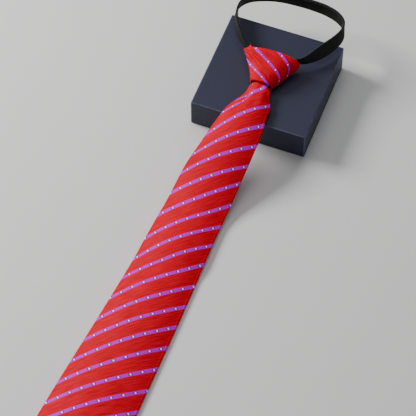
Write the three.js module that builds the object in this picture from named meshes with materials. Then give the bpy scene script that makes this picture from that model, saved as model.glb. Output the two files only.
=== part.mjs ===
// A pre-tied zipper necktie lying on the closed gift box that holds its knot up.
// Units are millimetres. +Z is up and +Y runs along the tie, from its point to its knot.
import * as THREE from 'three';
import { RoundedBoxGeometry } from 'three/addons/geometries/RoundedBoxGeometry.js';

// Display box
const BOX_WIDTH = 108.5;
const BOX_DEPTH = 106.7;
const BOX_HEIGHT = 30.9;
const BOX_CORNER = 1.2;
const BOX_TURN = 2.9;      // degrees, turned a little from the tie
const BOX_X = 8.8;         // how far its middle lies beside the middle of the blade

// Tie as a whole
const TIE_LENGTH = 471;    // from the point to the top of the knot, seen from above
const KNOT_OVERHANG = 36.6; // from the front edge of the box to the mouth of the knot
const FIT = 0.3;           // gap between pieces that rest on or in each other

// Blade: one folded cloth with its interlining, seamed down the middle of its back
const BLADE_WIDTH = 80;    // across the shoulders of the point
const BLADE_CROWN = 11;    // height of its arched middle
const BLADE_CLOTH = 1.4;
const LAYER_GAP = 0.8;     // between its front and its back along the rolled edges
const SEAM_GAP = 0.6;
const SEAM_RISE = 0.7;     // how far the back lifts along its seam
const DROP_RUN = 100;      // length of its fall from the box down to the floor

// Knot: a wrapped sleeve of padded cloth, open at its mouth and at its top rim
const KNOT_WIDTH = 53;
const KNOT_THICKNESS = 21;
const KNOT_LENGTH = 29.7;  // along its sides
const RIM_SETBACK = 2.5;   // from the highest place of its rim to the middle of the rim
const KNOT_CLOTH = 2.2;
const KNOT_X = 6.4;
const FOLD_CLOTH = 1.2;
const FOLD_EAR = 4.2;      // how far the inner fold stands out of the rim

// Zip: neck band, slider and closed tail
const TAPE_WIDTH = 13;
const TAPE = 1.1;
const COIL_WIDTH = 2.6;
const COIL = 2.1;          // thickness of the tape over its row of teeth
const BAND_PINCH = 5;      // width of the gathered tape inside the knot
const NAPE_OVERLAP = 11;
const SLIDER_WIDTH = 9;
const SLIDER_LENGTH = 11;
const SLIDER_THICKNESS = 4.6;
const TAIL_LENGTH = 170;   // from the mouth of the knot to its free end
const NECK_HEIGHT = 5;     // of the gathered blade where it enters the knot
const NECK_DEPTH = 9;      // how far the blade reaches into the knot

// Places that follow from the sizes
const knotRim = TIE_LENGTH - RIM_SETBACK;
const knotMouth = knotRim - KNOT_LENGTH;
const boxFront = knotMouth - KNOT_OVERHANG;
const boxTop = BOX_HEIGHT + FIT;
const tailStack = COIL + FIT;
const throatLift = KNOT_CLOTH + 2 * FIT;
const throatInset = KNOT_CLOTH + 2.5 * FIT;
const mouthHeight = 2 * KNOT_CLOTH + tailStack + NECK_HEIGHT + 4 * FIT;
const shoulder = BLADE_WIDTH / 2;
const bladeEdge = 2 * BLADE_CLOTH + LAYER_GAP;
const loopHeight = boxTop + KNOT_THICKNESS * 0.49;

// Outline of the blade: share of the way from its shoulders to the mouth of the knot,
// left and right edge as shares of half its width, height of the middle as a share of the crown
const BLADE_OUTLINE = [
  { along: 0.00, left: -1.00, right: 1.00, crown: 0.96 },
  { along: 0.18, left: -0.91, right: 0.91, crown: 1.00 },
  { along: 0.38, left: -0.81, right: 0.82, crown: 1.00 },
  { along: 0.55, left: -0.74, right: 0.74, crown: 0.96 },
  { along: 0.66, left: -0.69, right: 0.69, crown: 0.92 },
  { along: 0.76, left: -0.61, right: 0.69, crown: 0.88 },
  { along: 0.82, left: -0.49, right: 0.70, crown: 0.85 },
  { along: 0.88, left: -0.36, right: 0.71, crown: 0.82 },
  { along: 0.92, left: -0.28, right: 0.71, crown: 0.80 },
  { along: 0.95, left: -0.16, right: 0.66, crown: 0.78 },
  { along: 0.97, left: -0.02, right: 0.56, crown: 0.71 },
  { along: 0.985, left: 0.01, right: 0.51, crown: 0.62 },
  { along: 1.00, left: 0.01, right: 0.49, crown: 0.58 },
];

// Sections of the knot: share of its length from mouth to rim, sides as shares of its width
const KNOT_SECTIONS = [
  { along: 0.00, left: -0.138, right: 0.232 },
  { along: 0.20, left: -0.209, right: 0.296 },
  { along: 0.43, left: -0.298, right: 0.360 },
  { along: 0.70, left: -0.404, right: 0.412 },
  { along: 1.00, left: -0.504, right: 0.498 },
];
// Growth of the knot's thickness from its mouth (0) to its rim (1)
const KNOT_HEIGHTS = [
  { along: 0.00, height: 0.00 },
  { along: 0.20, height: 0.38 },
  { along: 0.43, height: 0.70 },
  { along: 0.70, height: 0.92 },
  { along: 1.00, height: 1.00 },
];

// Creases pressed into the front of the knot: ends as shares across (left to right) and
// along (mouth to rim), depth as a share of the cloth, width as a share of the knot's width
const KNOT_CREASES = [
  { across: 0.06, along: 0.92, toAcross: 0.42, toAlong: 0.38, depth: 0.34, width: 0.022 },
  { across: 0.16, along: 0.95, toAcross: 0.55, toAlong: 0.42, depth: 0.26, width: 0.020 },
  { across: 0.04, along: 0.70, toAcross: 0.30, toAlong: 0.22, depth: 0.22, width: 0.020 },
];

// Way of the two strands from the slider out of the knot's corners: shares of the knot's
// width and length from the middle of its rim, lift as a share of the tape's width
const PASSAGE_LEFT = [
  { x: -0.135, y: -0.220, lift: -0.24, width: 0.38, lean: 0 },
  { x: -0.280, y: -0.115, lift: -0.16, width: 0.38, lean: 0 },
  { x: -0.420, y: -0.015, lift: -0.10, width: 0.40, lean: 2 },
];
const PASSAGE_RIGHT = [
  { x: 0.405, y: 0.090, lift: -0.04, width: 0.42, lean: 4 },
  { x: 0.310, y: -0.050, lift: -0.12, width: 0.38, lean: 0 },
  { x: 0.200, y: -0.170, lift: -0.22, width: 0.38, lean: 0 },
];

// Loop of the neck band outside the knot: shares of the loop's width and depth from the
// same place, width as a share of the tape, lean in degrees with the lower edge further out
const LOOP_WIDTH = 97;
const LOOP_DEPTH = 69;
const LOOP_COURSE = [
  { x: -0.295, y: 0.062, lift: -0.03, width: 0.62, lean: 5 },
  { x: -0.360, y: 0.150, lift: 0.00, width: 0.90, lean: 6 },
  { x: -0.420, y: 0.250, lift: 0.00, width: 1.00, lean: 7 },
  { x: -0.475, y: 0.380, lift: 0.00, width: 1.00, lean: 7 },
  { x: -0.508, y: 0.510, lift: 0.00, width: 1.00, lean: 8 },
  { x: -0.505, y: 0.640, lift: 0.00, width: 1.00, lean: 9 },
  { x: -0.450, y: 0.765, lift: 0.00, width: 1.00, lean: 11 },
  { x: -0.340, y: 0.865, lift: 0.00, width: 1.00, lean: 13 },
  { x: -0.200, y: 0.940, lift: 0.00, width: 1.00, lean: 14 },
  { x: -0.040, y: 0.980, lift: 0.00, width: 1.00, lean: 15 },
  { x: 0.120, y: 0.998, lift: 0.00, width: 1.00, lean: 16 },
  { x: 0.270, y: 0.990, lift: 0.00, width: 1.00, lean: 17 },
  { x: 0.402, y: 0.938, lift: 0.00, width: 1.00, lean: 17 },
  { x: 0.486, y: 0.842, lift: 0.00, width: 1.00, lean: 16 },
  { x: 0.510, y: 0.705, lift: 0.00, width: 1.00, lean: 18 },
  { x: 0.484, y: 0.550, lift: 0.00, width: 1.00, lean: 25 },
  { x: 0.435, y: 0.400, lift: 0.00, width: 1.00, lean: 30 },
  { x: 0.378, y: 0.255, lift: 0.00, width: 0.92, lean: 26 },
  { x: 0.305, y: 0.118, lift: -0.01, width: 0.66, lean: 14 },
];

const cloth = (colour) => new THREE.MeshStandardMaterial({ color: colour, roughness: 0.62, metalness: 0 });
const materials = {
  silk: cloth(0xd0161f),
  fold: cloth(0xd8202a),
  tape: new THREE.MeshStandardMaterial({ color: 0x14140f, roughness: 0.8, metalness: 0 }),
  slider: new THREE.MeshStandardMaterial({ color: 0x2a2a2c, roughness: 0.4, metalness: 0.7 }),
  card: new THREE.MeshStandardMaterial({ color: 0x272c45, roughness: 0.75, metalness: 0 }),
};

const lerp = THREE.MathUtils.lerp;
const smooth = THREE.MathUtils.smoothstep;

/** Value of one column of a table of sections, eased smoothly between its rows. */
function column(table, name, along) {
  const last = table.length - 1;
  let row = 0;
  while (row < last - 1 && along > table[row + 1].along) row += 1;
  const before = table[Math.max(row - 1, 0)];
  const from = table[row];
  const to = table[row + 1];
  const after = table[Math.min(row + 2, last)];
  const span = to.along - from.along;
  const t = THREE.MathUtils.clamp((along - from.along) / span, 0, 1);
  const slopeFrom = (to[name] - before[name]) / (to.along - before.along) * span;
  const slopeTo = (after[name] - from[name]) / (after.along - from.along) * span;
  const t2 = t * t;
  const t3 = t2 * t;
  return (2 * t3 - 3 * t2 + 1) * from[name] + (t3 - 2 * t2 + t) * slopeFrom
    + (3 * t2 - 2 * t3) * to[name] + (t3 - t2) * slopeTo;
}

/** Closed mesh from points and triangles, turned so that its faces point out. */
function solid(points, triangles) {
  let volume = 0;
  for (const [a, b, c] of triangles) {
    volume += points[a].dot(new THREE.Vector3().crossVectors(points[b], points[c]));
  }
  const index = triangles.flatMap(([a, b, c]) => (volume > 0 ? [a, b, c] : [a, c, b]));
  const geometry = new THREE.BufferGeometry().setFromPoints(points);
  geometry.setIndex(index);
  geometry.computeVertexNormals();
  return geometry;
}

/** Wall of cloth of even thickness on both sides of a grid of middle points. */
function clothWall(rows, thickness, ring) {
  const across = rows[0].length;
  const along = rows.length;
  const at = (i, j) => {
    const row = THREE.MathUtils.clamp(j, 0, along - 1);
    const spot = ring ? (i + across) % across : THREE.MathUtils.clamp(i, 0, across - 1);
    return rows[row][spot];
  };
  const front = [];
  const back = [];
  for (let j = 0; j < along; j += 1) {
    for (let i = 0; i < across; i += 1) {
      const sideways = at(i + 1, j).clone().sub(at(i - 1, j));
      const lengthways = at(i, j + 1).clone().sub(at(i, j - 1));
      const offset = sideways.cross(lengthways).normalize().multiplyScalar(thickness / 2);
      front.push(at(i, j).clone().add(offset));
      back.push(at(i, j).clone().sub(offset));
    }
  }
  const points = [...front, ...back];
  const under = front.length;
  const triangles = [];
  const quad = (a, b, c, d) => triangles.push([a, b, c], [a, c, d]);
  const strips = ring ? across : across - 1;
  for (let j = 0; j < along - 1; j += 1) {
    for (let i = 0; i < strips; i += 1) {
      const a = j * across + i;
      const b = j * across + (i + 1) % across;
      quad(a, b, b + across, a + across);
      quad(under + b, under + a, under + a + across, under + b + across);
    }
  }
  const topRow = (along - 1) * across;
  for (let i = 0; i < strips; i += 1) {
    const next = (i + 1) % across;
    quad(next, i, under + i, under + next);
    quad(topRow + i, topRow + next, under + topRow + next, under + topRow + i);
  }
  if (!ring) {
    for (let j = 0; j < along - 1; j += 1) {
      const left = j * across;
      const right = left + across - 1;
      quad(left, left + across, under + left + across, under + left);
      quad(right + across, right, under + right, under + right + across);
    }
  }
  return solid(points, triangles);
}

/** Solid lofted through closed sections, with flat ends. */
function loft(sections, outline) {
  const count = outline.length;
  const points = sections.flat();
  const triangles = [];
  for (let j = 0; j < sections.length - 1; j += 1) {
    for (let i = 0; i < count; i += 1) {
      const a = j * count + i;
      const b = j * count + (i + 1) % count;
      triangles.push([a, b, b + count], [a, b + count, a + count]);
    }
  }
  const lastRow = (sections.length - 1) * count;
  for (const [a, b, c] of THREE.ShapeUtils.triangulateShape(outline, [])) {
    triangles.push([a, c, b]);
    triangles.push([lastRow + a, lastRow + b, lastRow + c]);
  }
  return solid(points, triangles);
}

/** Height of what the tie lies on: the box, then the fall to the floor. */
function support(y) {
  const landing = boxFront - DROP_RUN;
  return boxTop * smooth(y, landing, boxFront - FIT);
}

/** Share of the climb over the cloth of the knot's mouth, which starts before the mouth. */
function climb(y) {
  const START = 14;
  const END = 5;
  return smooth(y, knotMouth - START, knotMouth - END);
}

/** Underside of the zip tail, which climbs over the cloth of the knot's mouth. */
function tailBase(y) {
  return support(y) + throatLift * climb(y);
}

/** Underside of the blade, lifted by the tail as far as the tail reaches. */
function bladeBase(y) {
  const SETTLING = 20;
  const tailEnd = knotMouth - TAIL_LENGTH - COIL;
  return tailBase(y) + tailStack * smooth(y, tailEnd - SETTLING, tailEnd);
}

/** Sides of the knot's mouth, inside its cloth. */
function throatSides() {
  const [mouth] = KNOT_SECTIONS;
  return {
    left: KNOT_X + mouth.left * KNOT_WIDTH + throatInset,
    right: KNOT_X + mouth.right * KNOT_WIDTH - throatInset,
  };
}

/** Middle line of the blade's folded section: seam, back, fold, front, fold, back, seam. */
function foldedSection(left, right, crown) {
  const BACK_STEPS = 3;
  const FOLD_STEPS = 4;
  const FRONT_STEPS = 7;
  const ARCH_FULLNESS = 2;
  const middle = (left + right) / 2;
  const turn = (bladeEdge - BLADE_CLOTH) / 2;
  const half = (right - left) / 2 - BLADE_CLOTH / 2 - turn;
  const line = [];
  for (let i = 0; i <= BACK_STEPS; i += 1) {
    const x = lerp(SEAM_GAP / 2, half, i / BACK_STEPS);
    line.push([x, BLADE_CLOTH / 2 + SEAM_RISE * (1 - (x / half) ** 2)]);
  }
  for (let i = 1; i < FOLD_STEPS; i += 1) {
    const angle = lerp(-Math.PI / 2, Math.PI / 2, i / FOLD_STEPS);
    line.push([half + turn * Math.cos(angle), BLADE_CLOTH / 2 + turn * (1 + Math.sin(angle))]);
  }
  const rise = crown - bladeEdge;
  for (let i = 0; i < FRONT_STEPS; i += 1) {
    const share = 1 - i / FRONT_STEPS;
    const height = bladeEdge + rise * (1 - share ** ARCH_FULLNESS);
    line.push([share * half, height - BLADE_CLOTH / 2]);
  }
  const ridge = [[0, crown - BLADE_CLOTH / 2]];
  const mirrored = line.map(([x, z]) => [-x, z]).reverse();
  return [...line, ...ridge, ...mirrored].map(([x, z]) => ({ x: middle + x, z }));
}

/** Blade: flat, folded tube with a pointed end, gathered into the mouth of the knot. */
function frontBlade() {
  const ROWS = 46;
  const CLOSER_NEAR_KNOT = 1.6;
  const TUCK = { start: 6, end: 1.5 };  // how far before the mouth its sides draw in
  const pointReach = shoulder * 2.4;
  const neckEnd = knotMouth + NECK_DEPTH;
  const throat = throatSides();
  const rows = [];
  for (let j = 0; j <= ROWS; j += 1) {
    const start = neckEnd * (1 - (1 - j / ROWS) ** CLOSER_NEAR_KNOT);
    const slant = Math.max(0, 1 - start / pointReach);
    const edgeY = start + shoulder * slant;
    const along = (edgeY - shoulder) / (knotMouth - shoulder);
    const tuck = smooth(edgeY, knotMouth - TUCK.start, knotMouth - TUCK.end);
    const crownShare = column(BLADE_OUTLINE, 'crown', along);
    const left = lerp(column(BLADE_OUTLINE, 'left', along) * shoulder, throat.left, tuck);
    const right = lerp(column(BLADE_OUTLINE, 'right', along) * shoulder, throat.right, tuck);
    const arched = lerp(crownShare * BLADE_CROWN, NECK_HEIGHT, climb(edgeY));
    const crown = lerp(bladeEdge, arched, smooth(start, 0, shoulder / 2));
    rows.push(foldedSection(left, right, crown).map(({ x, z }) => {
      const y = start + Math.abs(x) * slant;
      return new THREE.Vector3(x, y, bladeBase(y) + z);
    }));
  }
  return clothWall(rows, BLADE_CLOTH, false);
}

/** Point on the middle of the knot's cloth, or on a skin inset from it. */
function knotPoint(angle, along, inset) {
  const MIDDLE = 0.42;     // height of the widest line, as a share of the height
  const ROUND_TOP = 2 / 2.5;
  const FLAT_BACK = 2 / 4;
  const RIM_TILT = 0.030;  // the right corner stands higher than the left one
  const RIM_CROWN = 0.002;
  const BACK_DROP = 0.11;  // the rim lies lower at the back, where the neck band leaves
  const MOUTH_TILT = 0.012;
  const MOUTH_DROP = 0.035;
  const across = Math.cos(angle);
  const up = Math.sin(angle);
  const bulge = up > 0 ? ROUND_TOP : FLAT_BACK;
  const left = KNOT_X + column(KNOT_SECTIONS, 'left', along) * KNOT_WIDTH + inset;
  const right = KNOT_X + column(KNOT_SECTIONS, 'right', along) * KNOT_WIDTH - inset;
  const height = lerp(mouthHeight, KNOT_THICKNESS, column(KNOT_HEIGHTS, 'height', along));
  const x = (left + right) / 2 + (right - left) / 2 * Math.sign(across) * Math.abs(across) ** bulge;
  const widest = height * MIDDLE;
  const reach = (up > 0 ? height - widest : widest) - inset;
  const z = boxTop + widest + reach * Math.sign(up) * Math.abs(up) ** bulge;
  const back = BACK_DROP * (1 - smooth(up, -0.8, 0.05));
  const rim = knotRim + KNOT_WIDTH * (RIM_TILT * across + RIM_CROWN * Math.max(up, 0) - back);
  const mouth = knotMouth + KNOT_WIDTH * (MOUTH_TILT * across - MOUTH_DROP * Math.max(up, 0));
  return new THREE.Vector3(x, lerp(mouth, rim, along), z);
}

/** Depth of the creases at a place on the front of the knot. */
function creaseDepth(across, along) {
  let depth = 0;
  for (const crease of KNOT_CREASES) {
    const run = new THREE.Vector2(crease.toAcross - crease.across, crease.toAlong - crease.along);
    const offset = new THREE.Vector2(across - crease.across, along - crease.along);
    const share = THREE.MathUtils.clamp(offset.dot(run) / run.lengthSq(), 0, 1);
    const miss = offset.sub(run.multiplyScalar(share)).length();
    const ends = Math.sin(Math.PI * THREE.MathUtils.clamp(share, 0.05, 0.95));
    depth += crease.depth * KNOT_CLOTH * ends * Math.exp(-((miss / (2 * crease.width)) ** 2));
  }
  return depth;
}

/** Knot: tapered sleeve of wrapped cloth, with its mouth and its top rim open. */
function knotWrap() {
  const AROUND = 48;
  const ROWS = 14;
  const rows = [];
  for (let j = 0; j <= ROWS; j += 1) {
    const along = j / ROWS;
    const row = [];
    for (let i = 0; i < AROUND; i += 1) {
      const angle = (2 * Math.PI * i) / AROUND;
      const dent = Math.sin(angle) > 0 ? creaseDepth(1 - angle / Math.PI, along) : 0;
      row.push(knotPoint(angle, along, KNOT_CLOTH / 2 + dent));
    }
    rows.push(row);
  }
  return clothWall(rows, KNOT_CLOTH, true);
}

/** Inner fold of the knot: a lip of cloth that stands out of the rim in an ear. */
function knotFold() {
  const FROM = Math.PI * 0.50;
  const TO = Math.PI * 0.86;
  const EAR_AT = 0.92;     // share of the way from FROM to TO
  const ACROSS = 14;
  const ROWS = 4;
  const DEPTH = 0.24;      // how far it reaches down inside the rim, as a share of the knot
  const inset = KNOT_CLOTH + 2 * FIT + FOLD_CLOTH / 2 + KNOT_CLOTH * 0.3;
  const rows = [];
  for (let j = 0; j <= ROWS; j += 1) {
    const share = j / ROWS;
    const row = [];
    for (let i = 0; i <= ACROSS; i += 1) {
      const sweep = i / ACROSS;
      const ear = Math.exp(-(((sweep - EAR_AT) / 0.16) ** 2));
      const top = 1 + (FOLD_EAR * (0.12 + 0.88 * ear)) / KNOT_LENGTH;
      const along = lerp(1 - DEPTH, top, share);
      const inside = Math.min(along, 1);
      const point = knotPoint(lerp(FROM, TO, sweep), inside, inset);
      point.y += (along - inside) * KNOT_LENGTH;
      row.push(point);
    }
    rows.push(row);
  }
  return clothWall(rows, FOLD_CLOTH, false);
}

/** Section of a zip tape standing on edge, with its row of teeth along the upper edge. */
function tapeSection(width, thickness) {
  const half = width / 2;
  const teeth = Math.min(COIL_WIDTH, width * 0.4);
  const body = thickness / 2;
  const coil = Math.max(COIL - TAPE, 0) + body;
  return [
    [-half, -body],
    [half, -body],
    [half, coil],
    [half - teeth, coil],
    [half - teeth * 1.2, body],
    [-half, body],
  ].map(([up, inward]) => new THREE.Vector2(up, inward));
}

/** Place of the slider, which sits in the lower half of the knot, above the throat. */
function sliderPlace() {
  const throat = throatSides();
  const bottom = knotMouth + NECK_DEPTH + 2 * FIT;
  const base = boxTop + throatLift + FIT;
  return {
    x: (throat.left + throat.right) / 2,
    bottom,
    top: bottom + SLIDER_LENGTH,
    base,
    middle: base + SLIDER_THICKNESS / 2,
  };
}

/** Course of the neck band: its middle line, with the width and lean of the tape. */
function bandCourse() {
  const { x, top, middle } = sliderPlace();
  const aside = SLIDER_WIDTH / 4;
  const out = top + 1.5 * FIT;
  const place = (row, width, depth) => ({
    ...row,
    point: new THREE.Vector3(
      KNOT_X + row.x * width,
      knotRim + row.y * depth,
      loopHeight + row.lift * TAPE_WIDTH,
    ),
  });
  const end = (side, y) => ({
    point: new THREE.Vector3(x + side * aside, y, middle),
    width: 0,
    lean: 0,
  });
  const inKnot = (row) => place(row, KNOT_WIDTH, KNOT_LENGTH);
  return [
    end(-1, out),
    end(-1.1, out + TAPE),
    ...PASSAGE_LEFT.map(inKnot),
    ...LOOP_COURSE.map((row) => place(row, LOOP_WIDTH, LOOP_DEPTH)),
    ...PASSAGE_RIGHT.map(inKnot),
    end(1.1, out + TAPE),
    end(1, out),
  ];
}

/** Neck band: one loop of tape on edge, from the slider round the neck and back to it. */
function neckBand() {
  const STEPS = 80;
  const course = bandCourse();
  const curve = new THREE.CatmullRomCurve3(course.map((row) => row.point));
  const table = course.map((row, i) => ({ ...row, along: i / (course.length - 1) }));
  const length = curve.getLength();
  const sections = [];
  for (let j = 0; j <= STEPS; j += 1) {
    const share = j / STEPS;
    const along = curve.getUtoTmapping(share);
    const middle = curve.getPoint(along);
    const ahead = curve.getTangent(along);
    const lean = THREE.MathUtils.degToRad(column(table, 'lean', along));
    const inward = new THREE.Vector3(ahead.y, -ahead.x, 0).normalize();
    const up = new THREE.Vector3(0, 0, Math.cos(lean)).addScaledVector(inward, Math.sin(lean));
    const side = inward.clone().multiplyScalar(Math.cos(lean)).setZ(-Math.sin(lean));
    const width = Math.max(column(table, 'width', along) * TAPE_WIDTH, BAND_PINCH);
    const overlap = Math.abs(share - 0.5) * length < NAPE_OVERLAP / 2 ? TAPE : 0;
    sections.push(tapeSection(width, TAPE + overlap).map((spot) => (
      middle.clone().addScaledVector(up, spot.x).addScaledVector(side, spot.y)
    )));
  }
  return loft(sections, tapeSection(TAPE_WIDTH, TAPE));
}

/** Slider of the zip: a plain shield, wide where the two strands leave it. */
function zipSlider() {
  const { x, bottom, base } = sliderPlace();
  const half = SLIDER_WIDTH / 2;
  const shield = new THREE.Shape();
  shield.moveTo(-half * 0.6, 0);
  shield.lineTo(half * 0.6, 0);
  shield.lineTo(half, SLIDER_LENGTH * 0.55);
  shield.lineTo(half * 0.9, SLIDER_LENGTH);
  shield.lineTo(-half * 0.9, SLIDER_LENGTH);
  shield.lineTo(-half, SLIDER_LENGTH * 0.55);
  shield.closePath();
  const bevel = 0.6;
  const geometry = new THREE.ExtrudeGeometry(shield, {
    depth: SLIDER_THICKNESS - 2 * bevel,
    bevelSize: bevel,
    bevelOffset: -bevel,
    bevelThickness: bevel,
    bevelSegments: 2,
  });
  geometry.translate(x, bottom, base + bevel);
  return geometry;
}

/** Tail of the zip: both tapes closed into one flat strip under the blade. */
function zipTail() {
  const STEPS = 44;
  const { x, bottom } = sliderPlace();
  const throat = throatSides();
  const GATHER = { start: 26, end: 6 };  // how far before the mouth it draws in
  const NARROWING = 0.8;
  const narrow = (throat.right - throat.left) * NARROWING;
  const end = knotMouth - TAIL_LENGTH;
  const outline = (width) => [
    [-width / 2, 0],
    [width / 2, 0],
    [width / 2, TAPE],
    [COIL_WIDTH, TAPE],
    [COIL_WIDTH * 0.8, COIL],
    [-COIL_WIDTH * 0.8, COIL],
    [-COIL_WIDTH, TAPE],
    [-width / 2, TAPE],
  ].map(([across, up]) => new THREE.Vector2(across, up));
  const sections = [];
  for (let j = 0; j <= STEPS; j += 1) {
    const y = lerp(end, bottom - FIT, j / STEPS);
    const gather = smooth(y, knotMouth - GATHER.start, knotMouth - GATHER.end);
    const width = lerp(2 * TAPE_WIDTH - COIL_WIDTH, narrow, gather);
    sections.push(outline(width).map((spot) => (
      new THREE.Vector3(x + spot.x, y, tailBase(y) + spot.y)
    )));
  }
  return loft(sections, outline(TAPE_WIDTH));
}

/** Closed box with softened edges, which carries the knot and the neck band. */
function displayBox() {
  const geometry = new RoundedBoxGeometry(BOX_WIDTH, BOX_DEPTH, BOX_HEIGHT, 2, BOX_CORNER);
  geometry.rotateZ(THREE.MathUtils.degToRad(BOX_TURN));
  geometry.translate(BOX_X, boxFront + BOX_DEPTH / 2, BOX_HEIGHT / 2);
  return geometry;
}

const group = new THREE.Group();
group.name = 'zipper_tie_on_display_box';

/** Adds a named piece to the tie. */
function add(name, geometry, material) {
  const mesh = new THREE.Mesh(geometry, material);
  mesh.name = name;
  group.add(mesh);
}

add('front_blade', frontBlade(), materials.silk);
add('knot_wrap', knotWrap(), materials.silk);
add('knot_fold', knotFold(), materials.fold);
add('neck_band', neckBand(), materials.tape);
add('zip_slider', zipSlider(), materials.slider);
add('zip_tail', zipTail(), materials.tape);
add('display_box', displayBox(), materials.card);

// The origin is on the floor, under the middle of the whole
const reach = new THREE.Box3().setFromObject(group, true);
const middle = reach.getCenter(new THREE.Vector3());
group.position.set(-middle.x, -middle.y, -reach.min.z);

export default group;
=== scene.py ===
"""A pre-tied zipper necktie on its closed gift box, dressed and lit for the camera.

Each sub-assembly works in the tie's own frame, in millimetres: the origin is on the floor under
the point of the blade, +Y runs to the knot and +Z is up. TieFrame turns points of that frame into
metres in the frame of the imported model.
"""
from __future__ import annotations

import logging
import math
from dataclasses import dataclass, field
from enum import Enum

import bpy
import numpy as np
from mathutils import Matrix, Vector


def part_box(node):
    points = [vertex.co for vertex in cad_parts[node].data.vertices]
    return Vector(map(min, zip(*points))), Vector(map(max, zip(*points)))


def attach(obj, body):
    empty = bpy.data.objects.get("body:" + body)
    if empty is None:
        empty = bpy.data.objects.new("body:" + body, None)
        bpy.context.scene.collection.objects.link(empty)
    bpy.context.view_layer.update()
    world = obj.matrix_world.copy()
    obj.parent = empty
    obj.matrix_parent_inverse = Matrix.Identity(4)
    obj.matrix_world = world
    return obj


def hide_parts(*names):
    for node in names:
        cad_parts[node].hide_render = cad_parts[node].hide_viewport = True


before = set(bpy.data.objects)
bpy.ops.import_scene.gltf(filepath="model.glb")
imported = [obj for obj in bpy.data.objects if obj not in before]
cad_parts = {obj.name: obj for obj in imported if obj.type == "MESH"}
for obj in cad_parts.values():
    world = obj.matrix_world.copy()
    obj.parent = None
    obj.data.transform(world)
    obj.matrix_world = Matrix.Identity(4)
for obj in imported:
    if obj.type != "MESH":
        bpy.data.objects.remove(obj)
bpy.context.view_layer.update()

log = logging.getLogger("zipper_tie")
MM = 0.001
BODY = "root"
CLOTH_MAP = "cloth"

Values = float | np.ndarray
Colour = tuple[float, float, float]
Socket = bpy.types.NodeSocket
Feed = Socket | bpy.types.ID | float | str | tuple | None


class Slot(Enum):
    """Material slots of the record."""

    CLOTH = "striped_cloth"
    TAPE = "zip_tape"
    METAL = "zip_metal"
    CARD = "box_card"


class Side(Enum):
    """Side of the tie, seen from the point of its blade."""

    LEFT = -1
    RIGHT = 1


def mix(start: Values, end: Values, share: Values) -> Values:
    """Value a share of the way from start to end."""
    return start + (end - start) * share


def ease(value: Values, low: Values, high: Values) -> np.ndarray:
    """Smooth step from 0 at low to 1 at high."""
    share = np.clip((np.asarray(value, float) - low) / (high - low), 0.0, 1.0)
    return share * share * (3.0 - 2.0 * share)


def bell(value: Values, middle: float, width: float) -> np.ndarray:
    """Bell curve of height 1 round a middle."""
    return np.exp(-(((np.asarray(value, float) - middle) / width) ** 2))


def unit(vectors: np.ndarray) -> np.ndarray:
    """Vectors scaled to length 1."""
    return vectors / np.maximum(np.linalg.norm(vectors, axis=-1, keepdims=True), 1e-12)


def run_lengths(points: np.ndarray) -> np.ndarray:
    """Length along a line of points up to each of them."""
    return np.concatenate([[0.0], np.cumsum(np.linalg.norm(np.diff(points, axis=0), axis=1))])


@dataclass(frozen=True)
class Table:
    """Short table of sections whose columns are eased smoothly between its rows."""

    names: tuple[str, ...]
    rows: tuple[tuple[float, ...], ...]

    def column(self, name: str) -> np.ndarray:
        """All values of one column."""
        return np.array([row[self.names.index(name)] for row in self.rows])

    def at(self, name: str, along: Values) -> np.ndarray:
        """Value of a column part of the way along.

        Args:
            name: the column.
            along: place or places, in the terms of the first column.

        Returns:
            The eased value at each place.
        """
        places = self.column(self.names[0])
        values = self.column(name)
        along = np.asarray(along, float)
        last = len(places) - 1
        row = np.clip(np.searchsorted(places, along, side="left") - 1, 0, last - 1)
        before = np.maximum(row - 1, 0)
        after = np.minimum(row + 2, last)
        span = places[row + 1] - places[row]
        t = np.clip((along - places[row]) / span, 0.0, 1.0)
        slope_from = (values[row + 1] - values[before]) / (places[row + 1] - places[before]) * span
        slope_to = (values[after] - values[row]) / (places[after] - places[row]) * span
        square = t * t
        cube = square * t
        return (
            (2 * cube - 3 * square + 1) * values[row]
            + (cube - 2 * square + t) * slope_from
            + (3 * square - 2 * cube) * values[row + 1]
            + (cube - square) * slope_to
        )


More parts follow.
